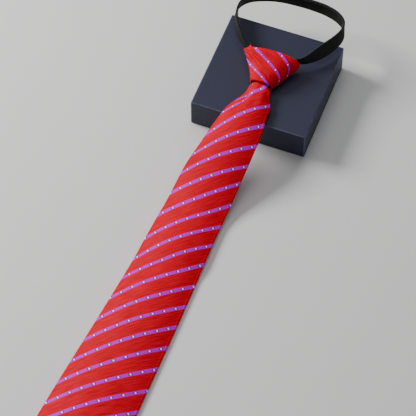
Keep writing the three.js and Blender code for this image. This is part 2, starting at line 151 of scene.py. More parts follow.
@dataclass(frozen=True)
class TieSizes:
    """Driving sizes of the tie and its box, in millimetres, and the places that follow."""

    box_depth: float = 106.7
    box_height: float = 30.9
    box_turn: float = 2.9
    box_x: float = 8.8
    tie_length: float = 471.0
    knot_overhang: float = 36.6
    fit: float = 0.3
    blade_width: float = 80.0
    blade_crown: float = 11.0
    blade_cloth: float = 1.4
    layer_gap: float = 0.8
    seam_gap: float = 0.6
    seam_rise: float = 0.7
    drop_run: float = 100.0
    knot_width: float = 53.0
    knot_thickness: float = 21.0
    knot_length: float = 29.7
    rim_setback: float = 2.5
    knot_cloth: float = 2.2
    knot_x: float = 6.4
    fold_cloth: float = 1.2
    fold_ear: float = 4.2
    tape_width: float = 13.0
    tape: float = 1.1
    coil_width: float = 2.6
    coil: float = 2.1
    band_pinch: float = 5.0
    nape_overlap: float = 11.0
    slider_width: float = 9.0
    slider_length: float = 11.0
    slider_thickness: float = 4.6
    tail_length: float = 170.0
    tail_fade: float = 20.0
    climb_start: float = 14.0
    climb_end: float = 5.0
    neck_height: float = 5.0
    neck_depth: float = 9.0
    loop_width: float = 97.0
    loop_depth: float = 69.0

    @property
    def rim(self) -> float:
        """Place of the knot's top rim along the tie."""
        return self.tie_length - self.rim_setback

    @property
    def mouth(self) -> float:
        """Place of the knot's mouth along the tie."""
        return self.rim - self.knot_length

    @property
    def box_front(self) -> float:
        """Place of the box's front edge along the tie."""
        return self.mouth - self.knot_overhang

    @property
    def box_top(self) -> float:
        """Height that the pieces on the box start from."""
        return self.box_height + self.fit

    @property
    def tail_stack(self) -> float:
        """Height that the zip's tail takes under the blade."""
        return self.coil + self.fit

    @property
    def throat_lift(self) -> float:
        """Height of what passes over the cloth of the knot's mouth."""
        return self.knot_cloth + 2 * self.fit

    @property
    def throat_inset(self) -> float:
        """Distance from the mouth's outer side to what passes inside it."""
        return self.knot_cloth + 2.5 * self.fit

    @property
    def mouth_height(self) -> float:
        """Height of the knot's mouth."""
        return 2 * self.knot_cloth + self.tail_stack + self.neck_height + 4 * self.fit

    @property
    def shoulder(self) -> float:
        """Half the blade's width, where its point begins."""
        return self.blade_width / 2

    @property
    def blade_edge(self) -> float:
        """Thickness of the blade at its rolled edges."""
        return 2 * self.blade_cloth + self.layer_gap

    @property
    def loop_height(self) -> float:
        """Height of the middle of the neck band."""
        return self.box_top + self.knot_thickness * 0.49

    def support(self, y: Values) -> np.ndarray:
        """Height of what the tie lies on: the box, then the fall to the floor."""
        landing = self.box_front - self.drop_run
        return self.box_top * ease(y, landing, self.box_front - self.fit)

    def climb(self, y: Values) -> np.ndarray:
        """Share of the climb over the cloth of the knot's mouth."""
        return ease(y, self.mouth - self.climb_start, self.mouth - self.climb_end)

    def tail_base(self, y: Values) -> np.ndarray:
        """Underside of the zip's tail."""
        return self.support(y) + self.throat_lift * self.climb(y)

    def blade_base(self, y: Values) -> np.ndarray:
        """Underside of the blade, lifted by the tail as far as the tail reaches."""
        tail_end = self.mouth - self.tail_length - self.coil
        return self.tail_base(y) + self.tail_stack * ease(y, tail_end - self.tail_fade, tail_end)


@dataclass(frozen=True)
class TieFrame:
    """Where the tie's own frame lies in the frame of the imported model."""

    origin: np.ndarray

    @classmethod
    def from_box(cls, sizes: TieSizes) -> "TieFrame":
        """Frame found from the middle of the box that carries the knot."""
        low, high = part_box("display_box")
        middle = (np.array(low) + np.array(high)) / 2
        box_y = sizes.box_front + sizes.box_depth / 2
        return cls(np.array([middle[0] - sizes.box_x * MM, middle[1] - box_y * MM, 0.0]))

    def place(self, points: np.ndarray) -> np.ndarray:
        """Points in millimetres of the tie's frame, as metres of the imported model's frame."""
        return np.asarray(points, float) * MM + self.origin


SIZES = TieSizes()
TIE = TieFrame.from_box(SIZES)

# Sides of the knot in shares of its width, from its mouth (0) to its rim (1)
KNOT_SECTIONS = Table(
    ("along", "left", "right"),
    (
        (0.00, -0.138, 0.232),
        (0.20, -0.209, 0.296),
        (0.43, -0.298, 0.360),
        (0.70, -0.404, 0.412),
        (1.00, -0.504, 0.498),
    ),
)
# Share of the way from the height of the mouth to that of the rim
KNOT_HEIGHTS = Table(
    ("along", "height"),
    ((0.00, 0.00), (0.20, 0.38), (0.43, 0.70), (0.70, 0.92), (1.00, 1.00)),
)


def throat_side(side: Side) -> float:
    """Side of the knot's mouth, inside its cloth."""
    share = float(KNOT_SECTIONS.at("left" if side is Side.LEFT else "right", 0.0))
    return SIZES.knot_x + share * SIZES.knot_width - side.value * SIZES.throat_inset


def add_object(name: str, data: bpy.types.ID) -> bpy.types.Object:
    """Adds an object with its data to the scene."""
    made = bpy.data.objects.new(name, data)
    bpy.context.scene.collection.objects.link(made)
    return made


def make_object(
    name: str,
    points: np.ndarray,
    faces: list[tuple[int, ...]],
    corners: np.ndarray | None = None,
    material: bpy.types.Material | None = None,
) -> bpy.types.Object:
    """Mesh object from points of the tie's frame.

    Args:
        name: name of the object.
        points: vertices in millimetres.
        faces: vertex numbers of each face.
        corners: cloth coordinates of every face corner, in millimetres.
        material: finish of the piece.

    Returns:
        The object, at the origin, shaded smooth.
    """
    mesh = bpy.data.meshes.new(name)
    mesh.from_pydata(TIE.place(points).tolist(), [], faces)
    if corners is not None:
        layer = mesh.uv_layers.new(name=CLOTH_MAP)
        layer.data.foreach_set("uv", np.asarray(corners, np.float32).ravel())
    mesh.polygons.foreach_set("use_smooth", [True] * len(mesh.polygons))
    if material is not None:
        mesh.materials.append(material)
    mesh.update()
    return add_object(name, mesh)


def face_outwards(piece: bpy.types.Object) -> None:
    """Turns the faces of a closed mesh so that they point out."""
    mesh = piece.data
    mesh.calc_loop_triangles()
    places = np.array([vertex.co for vertex in mesh.vertices])
    corners = np.array([triangle.vertices for triangle in mesh.loop_triangles])
    first, second, third = (places[corners[:, i]] for i in range(3))
    if np.einsum("ij,ij->i", first, np.cross(second, third)).sum() < 0:
        mesh.flip_normals()


def bake_modifiers(piece: bpy.types.Object) -> bpy.types.Object:
    """Plain mesh object of what a piece's modifiers make of it, under the same name."""
    evaluated = piece.evaluated_get(bpy.context.evaluated_depsgraph_get())
    mesh = bpy.data.meshes.new_from_object(evaluated)
    name = piece.name
    bpy.data.objects.remove(piece)
    mesh.name = name
    return add_object(name, mesh)


def grid_faces(rows: int, columns: int, ring: bool, closed: bool) -> list[tuple[int, ...]]:
    """Faces of a grid of points.

    Args:
        rows: number of rows.
        columns: number of points in a row.
        ring: whether each row closes on itself.
        closed: whether the last row joins the first.

    Returns:
        Four vertex numbers for each face.
    """
    row_steps = rows if closed else rows - 1
    steps = columns if ring else columns - 1
    faces = []
    for j in range(row_steps):
        after = (j + 1) % rows
        for i in range(steps):
            beside = (i + 1) % columns
            faces.append((
                j * columns + i, j * columns + beside, after * columns + beside, after * columns + i,
            ))
    return faces


def grid_corners(cloth: np.ndarray) -> np.ndarray:
    """Cloth coordinates at the corners of a grid's faces, in the order of grid_faces.

    Args:
        cloth: coordinates with one more row or column than the points where the grid closes.

    Returns:
        Four pairs of coordinates for each face.
    """
    here = cloth[:-1, :-1]
    beside = cloth[:-1, 1:]
    across = cloth[1:, 1:]
    after = cloth[1:, :-1]
    return np.stack([here, beside, across, after], axis=2).reshape(-1, 2)


def grid_normals(points: np.ndarray, ring: bool) -> np.ndarray:
    """Normals of a grid of points, by the differences between neighbours.

    Args:
        points: rows by columns by 3.
        ring: whether each row closes on itself.

    Returns:
        Unit vectors, one for each point.
    """
    if ring:
        sideways = np.roll(points, -1, axis=1) - np.roll(points, 1, axis=1)
    else:
        sideways = np.gradient(points, axis=1)
    lengthways = np.gradient(points, axis=0)
    return unit(np.cross(lengthways, sideways))


@dataclass(frozen=True)
class RolledWall:
    """Closed wall of cloth round a grid of middle points, with its open ends rolled over."""

    middle: np.ndarray
    cloth: np.ndarray
    thickness: float
    ring: bool
    relief: np.ndarray | None = None
    roll_steps: int = 6

    def build(self, name: str, material: bpy.types.Material) -> bpy.types.Object:
        """Makes the wall.

        Args:
            name: name of the object.
            material: finish of the cloth.

        Returns:
            The object, a closed mesh.
        """
        half = self.thickness / 2
        normal = grid_normals(self.middle, self.ring)
        ahead = unit(np.gradient(self.middle, axis=0))
        rise = 0.0 if self.relief is None else self.relief[..., None]
        columns = self.middle.shape[1]
        cloth = self.cloth

        def roll(row: int, way: float) -> tuple[list, list]:
            """Rows that turn over one open end."""
            turned, worn = [], []
            for k in range(1, self.roll_steps):
                angle = math.pi * k / self.roll_steps
                turned.append(
                    self.middle[row]
                    + way * ahead[row] * half * math.sin(angle)
                    + way * normal[row] * half * math.cos(angle)
                )
                step = np.zeros_like(cloth[row])
                step[:, 1] = way * half * math.sin(angle)
                worn.append(cloth[row] + step)
            return turned, worn

        far, far_cloth = roll(-1, 1.0)
        near, near_cloth = roll(0, -1.0)
        outer = list(self.middle + normal * (half + rise))
        inner = list((self.middle - normal * half)[::-1])
        loops = np.array([*outer, *far, *inner, *near])
        worn = np.array([*cloth, *far_cloth, *cloth[::-1], *near_cloth])
        worn = np.concatenate([worn, worn[:1]])
        faces = grid_faces(len(loops), columns, self.ring, True)
        corners = grid_corners(worn)
        if not self.ring:
            caps, cap_corners = self.side_caps(len(outer), columns, worn)
            faces = faces + caps
            corners = np.concatenate([corners, cap_corners])
        made = make_object(name, loops.reshape(-1, 3), faces, corners, material)
        face_outwards(made)
        return made

    def side_caps(self, rows: int, columns: int, worn: np.ndarray) -> tuple[list, np.ndarray]:
        """Faces that close the two sides of an open wall, with their cloth coordinates."""
        turn = self.roll_steps - 1
        total = 2 * (rows + turn)
        faces = []
        corners = []
        for column, flip in ((0, False), (columns - 1, True)):
            rings = [
                [j, j + 1, 2 * rows + turn - 2 - j, 2 * rows + turn - 1 - j] for j in range(rows - 1)
            ]
            rings.append(list(range(rows - 1, rows + turn + 1)))
            rings.append([*range(2 * rows + turn - 1, total), 0])
            for ring in rings:
                order = ring if flip else ring[::-1]
                faces.append(tuple(loop * columns + column for loop in order))
                corners.extend(worn[loop][column] for loop in order)
        return faces, np.array(corners)


@dataclass(frozen=True)
class Bump:
    """Relief of a surface: how strong, how deep in metres, and the socket with its height."""

    strength: float
    distance: float
    height: Socket


class Graph:
    """Short ways to add and join the nodes of one shader or geometry tree."""

    # Sockets of the Mix node that take and give colours; their names are not unique
    MIX_COLOURS = (6, 7)
    MIXED_COLOUR = 2

    def __init__(self, tree: bpy.types.NodeTree) -> None:
        """Takes an empty tree."""
        self.tree = tree

    def put(self, socket: Socket, value: Feed) -> None:
        """Links a socket to another, or sets its own value."""
        if isinstance(value, Socket):
            self.tree.links.new(value, socket)
        elif value is not None:
            socket.default_value = value

    def add(
        self, kind: str, inputs: dict[str | int, Feed] | None = None, **settings: str | bool | float,
    ) -> bpy.types.Node:
        """Adds a node.

        Args:
            kind: type of the node.
            inputs: sockets by name or number, with a value or the socket that feeds each.
            settings: the node's own options.

        Returns:
            The node.
        """
        node = self.tree.nodes.new(kind)
        for name, value in settings.items():
            setattr(node, name, value)
        for name, value in (inputs or {}).items():
            self.put(node.inputs[name], value)
        return node

    def math(self, operation: str, first: Feed, second: Feed = None, third: Feed = None) -> Socket:
        """Result of a Math node."""
        node = self.add("ShaderNodeMath", operation=operation)
        for socket, value in zip(node.inputs, (first, second, third)):
            self.put(socket, value)
        return node.outputs[0]

    def step(self, value: Feed, low: float, high: float) -> Socket:
        """Smooth step of a value between two limits."""
        node = self.add(
            "ShaderNodeMapRange",
            {"Value": value, "From Min": low, "From Max": high},
            interpolation_type="SMOOTHSTEP",
        )
        return node.outputs["Result"]

    def fall(self, value: Feed, low: float, high: float) -> Socket:
        """Smooth fall from 1 to 0 between two limits."""
        return self.math("SUBTRACT", 1.0, self.step(value, low, high))

    def blend(self, share: Feed, first: Socket | Colour, second: Socket | Colour) -> Socket:
        """Colour a share of the way from the first to the second."""
        node = self.add("ShaderNodeMix", {"Factor": share}, data_type="RGBA")
        for number, colour in zip(self.MIX_COLOURS, (first, second)):
            self.put(node.inputs[number], (*colour, 1.0) if isinstance(colour, tuple) else colour)
        return node.outputs[self.MIXED_COLOUR]

    def noise(self, vector: Feed, scale: float, detail: float = 3.0) -> Socket:
        """Even noise from 0 to 1."""
        node = self.add("ShaderNodeTexNoise", {"Vector": vector, "Scale": scale, "Detail": detail})
        return node.outputs["Fac"]

    def stretched(self, vector: Feed, scale: tuple[float, float, float]) -> Socket:
        """Coordinates scaled by a Mapping node."""
        node = self.add("ShaderNodeMapping", {"Vector": vector, "Scale": scale})
        return node.outputs["Vector"]

    def place_group(self, group: bpy.types.NodeTree, inputs: dict) -> bpy.types.Node:
        """Places a shader group with its own values."""
        node = self.tree.nodes.new("ShaderNodeGroup")
        node.node_tree = group
        for name, value in inputs.items():
            self.put(node.inputs[name], value)
        return node

    def surface(
        self,
        colour: Feed,
        rough: Feed,
        bump: Bump | None = None,
        more: dict[str, Feed] | None = None,
    ) -> None:
        """Gives the material its surface.

        Args:
            colour: base colour.
            rough: roughness.
            bump: relief of the surface.
            more: other inputs of the shader, by name.
        """
        inputs = {"Base Color": colour, "Roughness": rough, **(more or {})}
        if bump is not None:
            inputs["Normal"] = self.add("ShaderNodeBump", {
                "Strength": bump.strength, "Distance": bump.distance, "Height": bump.height,
            }).outputs[0]
        shader = self.add("ShaderNodeBsdfPrincipled", inputs)
        self.add("ShaderNodeOutputMaterial", {"Surface": shader.outputs[0]})


def new_group(name: str, inputs: dict[str, tuple], outputs: tuple[str, ...]) -> bpy.types.NodeTree:
    """Empty shader group with named sockets.

    Args:
        name: name of the group.
        inputs: socket type and value of each input.
        outputs: names of its float outputs.

    Returns:
        The group.
    """
    group = bpy.data.node_groups.new(name, "ShaderNodeTree")
    for label, (kind, value) in inputs.items():
        socket = group.interface.new_socket(name=label, in_out="INPUT", socket_type=kind)
        if value is not None:
            socket.default_value = value
    for label in outputs:
        group.interface.new_socket(name=label, in_out="OUTPUT", socket_type="NodeSocketFloat")
    return group


class Effects:
    """Shader groups that more than one finish uses."""

    # Scale and share of the noise that makes the band along the edges uneven, and where the band
    # starts and ends; the band is rubbed wear on the slider and a painted highlight on the box
    EDGE_NOISE_SCALE = 130.0
    EDGE_NOISE = 0.6
    WEAR_AND_HIGHLIGHT_SPAN = (0.25, 1.0)

    def __init__(self) -> None:
        """Builds every group once."""
        self.threads = self._threads()
        self.grain = self._grain()
        self.wear_and_highlight = self._edge_wear_and_highlight()

    @staticmethod
    def _threads() -> bpy.types.NodeTree:
        """Weave of threads over and under each other, on coordinates in millimetres."""
        group = new_group(
            "woven_threads",
            {
                "Vector": ("NodeSocketVector", None),
                "Warp": ("NodeSocketFloat", 0.4),
                "Weft": ("NodeSocketFloat", 0.4),
                "Slub": ("NodeSocketFloat", 0.3),
            },
            ("Height", "Tone"),
        )
        graph = Graph(group)
        given = graph.add("NodeGroupInput").outputs
        wander = graph.noise(given["Vector"], 0.9, 1.0)
        drift = graph.math("MULTIPLY", graph.math("SUBTRACT", wander, 0.5), given["Slub"])
        parts = graph.add("ShaderNodeSeparateXYZ", {"Vector": given["Vector"]}).outputs
        across = graph.math("DIVIDE", graph.math("ADD", parts["X"], drift), given["Warp"])
        along = graph.math("DIVIDE", graph.math("ADD", parts["Y"], drift), given["Weft"])
        over = graph.math("ADD", across, along)
        warp = graph.math("SINE", graph.math("MULTIPLY", across, 2 * math.pi))
        twill = graph.math("SINE", graph.math("MULTIPLY", over, math.pi))
        height = graph.math("MULTIPLY_ADD", graph.math("MULTIPLY", warp, twill), 0.5, 0.5)
        tone = graph.math("MULTIPLY_ADD", twill, 0.5, 0.5)
        graph.add("NodeGroupOutput", {"Height": height, "Tone": tone})
        return group

    @staticmethod
    def _grain() -> bpy.types.NodeTree:
        """Fine uneven grain with a few larger clouds."""
        group = new_group(
            "fine_grain",
            {
                "Vector": ("NodeSocketVector", None),
                "Fine": ("NodeSocketFloat", 2500.0),
                "Clouds": ("NodeSocketFloat", 40.0),
            },
            ("Grain", "Cloud"),
        )
        graph = Graph(group)
        given = graph.add("NodeGroupInput").outputs
        fine = graph.noise(given["Vector"], 1.0, 4.0)
        cloud = graph.noise(given["Vector"], 1.0, 2.0)
        group.links.new(given["Fine"], fine.node.inputs["Scale"])
        group.links.new(given["Clouds"], cloud.node.inputs["Scale"])
        graph.add("NodeGroupOutput", {"Grain": fine, "Cloud": cloud})
        return group

    @staticmethod
    def _edge_wear_and_highlight() -> bpy.types.NodeTree:
        """Band along the edges of a box-like piece, from coordinates round its middle: rubbed wear on
        the slider, a painted highlight on the gift box.
        """
        group = new_group(
            "edge_wear_and_highlight",
            {
                "Vector": ("NodeSocketVector", None),
                "Half Size": ("NodeSocketVector", (0.05, 0.05, 0.015)),
                "Reach": ("NodeSocketFloat", 0.0015),
            },
            ("Mask",),
        )
        graph = Graph(group)
        given = graph.add("NodeGroupInput").outputs
        inside = graph.add(
            "ShaderNodeVectorMath", {0: given["Vector"]}, operation="ABSOLUTE",
        ).outputs[0]
        gap = graph.add(
            "ShaderNodeVectorMath", {0: given["Half Size"], 1: inside}, operation="SUBTRACT",
        ).outputs[0]
        parts = graph.add("ShaderNodeSeparateXYZ", {"Vector": gap}).outputs
        low = graph.math("MINIMUM", graph.math("MINIMUM", parts["X"], parts["Y"]), parts["Z"])
        high = graph.math("MAXIMUM", graph.math("MAXIMUM", parts["X"], parts["Y"]), parts["Z"])
        total = graph.math("ADD", graph.math("ADD", parts["X"], parts["Y"]), parts["Z"])
        second = graph.math("SUBTRACT", graph.math("SUBTRACT", total, low), high)
        nearness = graph.math("DIVIDE", second, given["Reach"])
        edge_noise = graph.noise(given["Vector"], Effects.EDGE_NOISE_SCALE, 2.0)
        nearness = graph.math("MULTIPLY_ADD", edge_noise, Effects.EDGE_NOISE, nearness)
        mask = graph.fall(nearness, *Effects.WEAR_AND_HIGHLIGHT_SPAN)
        graph.add("NodeGroupOutput", {"Mask": mask})
        return group


def new_material(name: str, colour: Colour) -> tuple[bpy.types.Material, Graph]:
    """Empty node material, with its colour for solid views, and its graph."""
    material = bpy.data.materials.new(name)
    material.use_nodes = True
    material.node_tree.nodes.clear()
    material.diffuse_color = (*colour, 1.0)
    return material, Graph(material.node_tree)


@dataclass(frozen=True)
class SilkFinish:
    """Red jacquard silk with purple stripes, a row of small light dots along each."""

    ground: Colour = (0.82, 0.0018, 0.0200)
    ground_deep: Colour = (0.38, 0.0005, 0.0065)
    stripe: Colour = (0.58, 0.018, 0.66)
    stripe_deep: Colour = (0.09, 0.004, 0.16)
    dot: Colour = (0.95, 0.92, 1.00)
    glint: Colour = (1.0, 0.35, 0.45)
    sheen: Colour = (1.0, 0.30, 0.36)
    pitch: float = 15.4
    stripe_width: float = 3.1
    stripe_soft: float = 0.13
    ragged: float = 0.22
    dot_spacing: float = 10.64
    dot_size: float = 1.5
    dot_squareness: float = 3.0
    dot_shift: float = -1.09
    dot_start: float = -1.0
    rib: float = 1.15
    thread: float = 0.34

    def material(self, effects: Effects) -> bpy.types.Material:
        """Makes the finish.

        Args:
            effects: the shared shader groups.

        Returns:
            The material, which reads the piece's cloth map in millimetres.
        """
        material, graph = new_material("striped_silk", self.ground)
        cloth = graph.add("ShaderNodeUVMap", uv_map=CLOTH_MAP).outputs["UV"]
        parts = graph.add("ShaderNodeSeparateXYZ", {"Vector": cloth}).outputs
        stripe, dot, shade = self._marks(graph, cloth, parts["X"], parts["Y"])
        ribs = graph.math("SINE", graph.math("MULTIPLY", parts["Y"], 2 * math.pi / self.rib))
        ribs = graph.math("MULTIPLY_ADD", ribs, 0.5, 0.5)
        weave = graph.place_group(
            effects.threads,
            {"Vector": cloth, "Warp": self.thread, "Weft": self.thread * 1.3, "Slub": 0.25},
        ).outputs
        streak = graph.noise(graph.stretched(cloth, (0.06, 1.5, 1.0)), 1.0, 2.0)
        streak = graph.step(streak, 0.34, 0.62)
        tone = graph.math("MULTIPLY_ADD", ribs, 0.30, graph.math("MULTIPLY", weave["Tone"], 0.20))
        tone = graph.math("MULTIPLY_ADD", streak, 0.50, tone)
        ground = graph.blend(tone, self.ground_deep, self.ground)
        gloss = graph.math("MULTIPLY_ADD", weave["Tone"], 0.22, 0.80)
        lilac = graph.blend(gloss, self.stripe_deep, self.stripe)
        lilac = graph.blend(graph.math("MULTIPLY", shade, 0.75), lilac, self.stripe_deep)
        colour = graph.blend(dot, graph.blend(stripe, ground, lilac), self.dot)
        rough = graph.math("MULTIPLY_ADD", stripe, -0.12, 0.52)
        rough = graph.math("MULTIPLY_ADD", weave["Tone"], 0.08, rough)
        height = graph.math("MULTIPLY", ribs, graph.math("SUBTRACT", 1.0, stripe))
        for raised, share in ((weave["Height"], 0.5), (stripe, 0.9), (dot, 0.7)):
            height = graph.math("MULTIPLY_ADD", raised, share, height)
        graph.surface(colour, rough, Bump(0.35, 0.00012, height), {
            "Specular IOR Level": 0.10,
            "Specular Tint": (*self.glint, 1.0),
            "Sheen Weight": 0.02,
            "Sheen Roughness": 0.38,
            "Sheen Tint": (*self.sheen, 1.0),
        })
        return material

    def _marks(
        self, graph: Graph, cloth: Socket, along: Socket, across: Socket,
    ) -> tuple[Socket, Socket, Socket]:
        """Masks of the woven marks.

        Args:
            graph: the material's graph.
            cloth: cloth coordinates.
            along: their part along the stripes.
            across: their part across the stripes.

        Returns:
            Masks of the stripes, of the dots and of the shade beside each dot.
        """
        wobble = graph.noise(graph.stretched(cloth, (2.2, 2.2, 1.0)), 1.0, 1.0)
        wobble = graph.math("MULTIPLY", graph.math("SUBTRACT", wobble, 0.5), self.ragged)
        count = graph.math("DIVIDE", graph.math("ADD", across, wobble), self.pitch)
        from_middle = graph.math("SUBTRACT", graph.math("FRACT", count), 0.5)
        from_middle = graph.math("MULTIPLY", graph.math("ABSOLUTE", from_middle), self.pitch)
        half = self.stripe_width / 2
        stripe = graph.fall(from_middle, half - self.stripe_soft, half + self.stripe_soft)
        shifted = graph.math("MULTIPLY_ADD", graph.math("FLOOR", count), self.dot_shift, along)
        shifted = graph.math("ADD", shifted, self.dot_start)
        beat = graph.math("FRACT", graph.math("DIVIDE", shifted, self.dot_spacing))
        from_dot = graph.math("ABSOLUTE", graph.math("SUBTRACT", beat, 0.5))
        from_dot = graph.math("MULTIPLY", from_dot, self.dot_spacing)
        reach = graph.math(
            "ADD",
            graph.math("POWER", from_dot, self.dot_squareness),
            graph.math("POWER", from_middle, self.dot_squareness),
        )
        reach = graph.math("POWER", reach, 1 / self.dot_squareness)
        radius = self.dot_size / 2
        dot = graph.fall(reach, radius - 0.10, radius + 0.12)
        beside = graph.fall(from_dot, radius + 0.7, radius + 1.25)
        narrow = graph.fall(from_middle, radius + 0.05, radius + 0.45)
        return stripe, dot, graph.math("MULTIPLY", beside, narrow)


@dataclass(frozen=True)
class TapeFinish:
    """Near-black woven zip tape with a firm twill and a dull sheen."""

    colour: Colour = (0.0085, 0.0085, 0.0080)
    worn: Colour = (0.020, 0.0196, 0.0180)
    thread: float = 0.55

    def material(self, effects: Effects) -> bpy.types.Material:
        """Makes the finish on the piece's cloth map."""
        material, graph = new_material("zip_tape_weave", self.colour)
        cloth = graph.add("ShaderNodeUVMap", uv_map=CLOTH_MAP).outputs["UV"]
        weave = graph.place_group(
            effects.threads,
            {"Vector": cloth, "Warp": self.thread, "Weft": self.thread * 0.8, "Slub": 0.2},
        ).outputs
        cloud = graph.noise(graph.stretched(cloth, (0.12, 0.5, 1.0)), 1.0, 3.0)
        tone = graph.math("MULTIPLY", graph.math("ADD", weave["Tone"], cloud), 0.5)
        colour = graph.blend(tone, self.colour, self.worn)
        rough = graph.math("MULTIPLY_ADD", cloud, 0.2, 0.62)
        graph.surface(colour, rough, Bump(0.5, 0.00018, weave["Height"]), {
            "Specular IOR Level": 0.12,
            "Sheen Weight": 0.02,
            "Sheen Roughness": 0.5,
        })
        return material


@dataclass(frozen=True)
class CoilFinish:
    """Black nylon of the zip's teeth, or the thread of its seams."""

    name: str = "nylon_coil"
    colour: Colour = (0.014, 0.014, 0.015)
    light: Colour = (0.05, 0.05, 0.052)
    roughness: float = 0.34

    def material(self, effects: Effects) -> bpy.types.Material:
        """Makes the finish on Object coordinates."""
        material, graph = new_material(self.name, self.colour)
        place = graph.add("ShaderNodeTexCoord").outputs["Object"]
        grain = graph.place_group(
            effects.grain, {"Vector": place, "Fine": 3000.0, "Clouds": 300.0},
        ).outputs
        colour = graph.blend(grain["Cloud"], self.colour, self.light)
        rough = graph.math("MULTIPLY_ADD", grain["Grain"], 0.16, self.roughness)
        graph.surface(colour, rough, Bump(0.2, 0.00005, grain["Grain"]))
        return material


@dataclass(frozen=True)
class SliderFinish:
    """Black lacquered die-cast metal, rubbed bright along its edges."""

    lacquer: Colour = (0.020, 0.020, 0.022)
    wear_and_highlight_colour: Colour = (0.42, 0.41, 0.40)

    def material(self, effects: Effects, middle: Vector, half: Vector) -> bpy.types.Material:
        """Makes the finish.

        Args:
            effects: the shared shader groups.
            middle: middle of the slider.
            half: half of its size.

        Returns:
            The material, on Object coordinates.
        """
        material, graph = new_material("slider_lacquer", self.lacquer)
        place = graph.add("ShaderNodeTexCoord").outputs["Object"]
        centred = graph.add("ShaderNodeMapping", {"Vector": place, "Location": tuple(-middle)})
        wear_and_highlight = graph.place_group(effects.wear_and_highlight, {
            "Vector": centred.outputs["Vector"], "Half Size": tuple(half), "Reach": 0.0006,
        }).outputs["Mask"]
        grain = graph.place_group(
            effects.grain, {"Vector": place, "Fine": 2600.0, "Clouds": 220.0},
        ).outputs
        colour = graph.blend(wear_and_highlight, self.lacquer, self.wear_and_highlight_colour)
        rough = graph.math("MULTIPLY_ADD", grain["Cloud"], 0.2, 0.28)
        graph.surface(colour, rough, Bump(0.15, 0.00005, grain["Grain"]), {"Metallic": wear_and_highlight})
        return material


@dataclass(frozen=True)
class CardFinish:
    """Navy paper wrapped round card, with a fine grain and a pale highlight painted along its edges.
    """

    paper: Colour = (0.0095, 0.0110, 0.0330)
    light: Colour = (0.0155, 0.0180, 0.0480)
    # Colour of the painted highlight along the box's edges, where light catches their rounded edges,
    # and how much of it is laid over the paper
    wear_and_highlight_colour: Colour = (0.22, 0.25, 0.38)
    wear_and_highlight: float = 0.4

    def material(self, effects: Effects, sizes: TieSizes) -> bpy.types.Material:
        """Makes the finish.

        Args:
            effects: the shared shader groups.
            sizes: sizes of the box, which its edges follow.

        Returns:
            The material, on Object coordinates turned with the box.
        """
        material, graph = new_material("navy_paper", self.paper)
        place = graph.add("ShaderNodeTexCoord").outputs["Object"]
        low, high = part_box("display_box")
        middle = (low + high) / 2
        turn = math.radians(sizes.box_turn)
        square = graph.add("ShaderNodeVectorMath", {0: place, 1: tuple(middle)}, operation="SUBTRACT")
        turned = graph.add(
            "ShaderNodeMapping", {"Vector": square.outputs[0], "Rotation": (0.0, 0.0, -turn)},
        ).outputs["Vector"]
        reach = (high - low) / 2
        spread = math.cos(turn) + math.sin(turn)
        half = (reach.x / spread, reach.y / spread, reach.z)
        # Band along the box's edges that carries the painted highlight
        wear_and_highlight = graph.place_group(
            effects.wear_and_highlight, {"Vector": turned, "Half Size": half, "Reach": 0.0018},
        ).outputs["Mask"]
        grain = graph.place_group(
            effects.grain, {"Vector": turned, "Fine": 2200.0, "Clouds": 30.0},
        ).outputs
        fibre = graph.noise(graph.stretched(turned, (260.0, 1500.0, 700.0)), 1.0, 3.0)
        tone = graph.math("MULTIPLY_ADD", fibre, 0.6, graph.math("MULTIPLY", grain["Cloud"], 0.4))
        colour = graph.blend(tone, self.paper, self.light)
        # Painted highlight laid over the paper along the edges
        colour = graph.blend(graph.math("MULTIPLY", wear_and_highlight, self.wear_and_highlight), colour, self.wear_and_highlight_colour)
        rough = graph.math("MULTIPLY_ADD", grain["Grain"], 0.18, 0.50)
        height = graph.math("MULTIPLY_ADD", fibre, 0.6, grain["Grain"])
        graph.surface(colour, rough, Bump(0.35, 0.0001, height), {"Specular IOR Level": 0.45})
        return material


class Repeat(Enum):
    """What a row along a guide repeats."""

    TOOTH = "tooth"
    STITCH = "stitch"


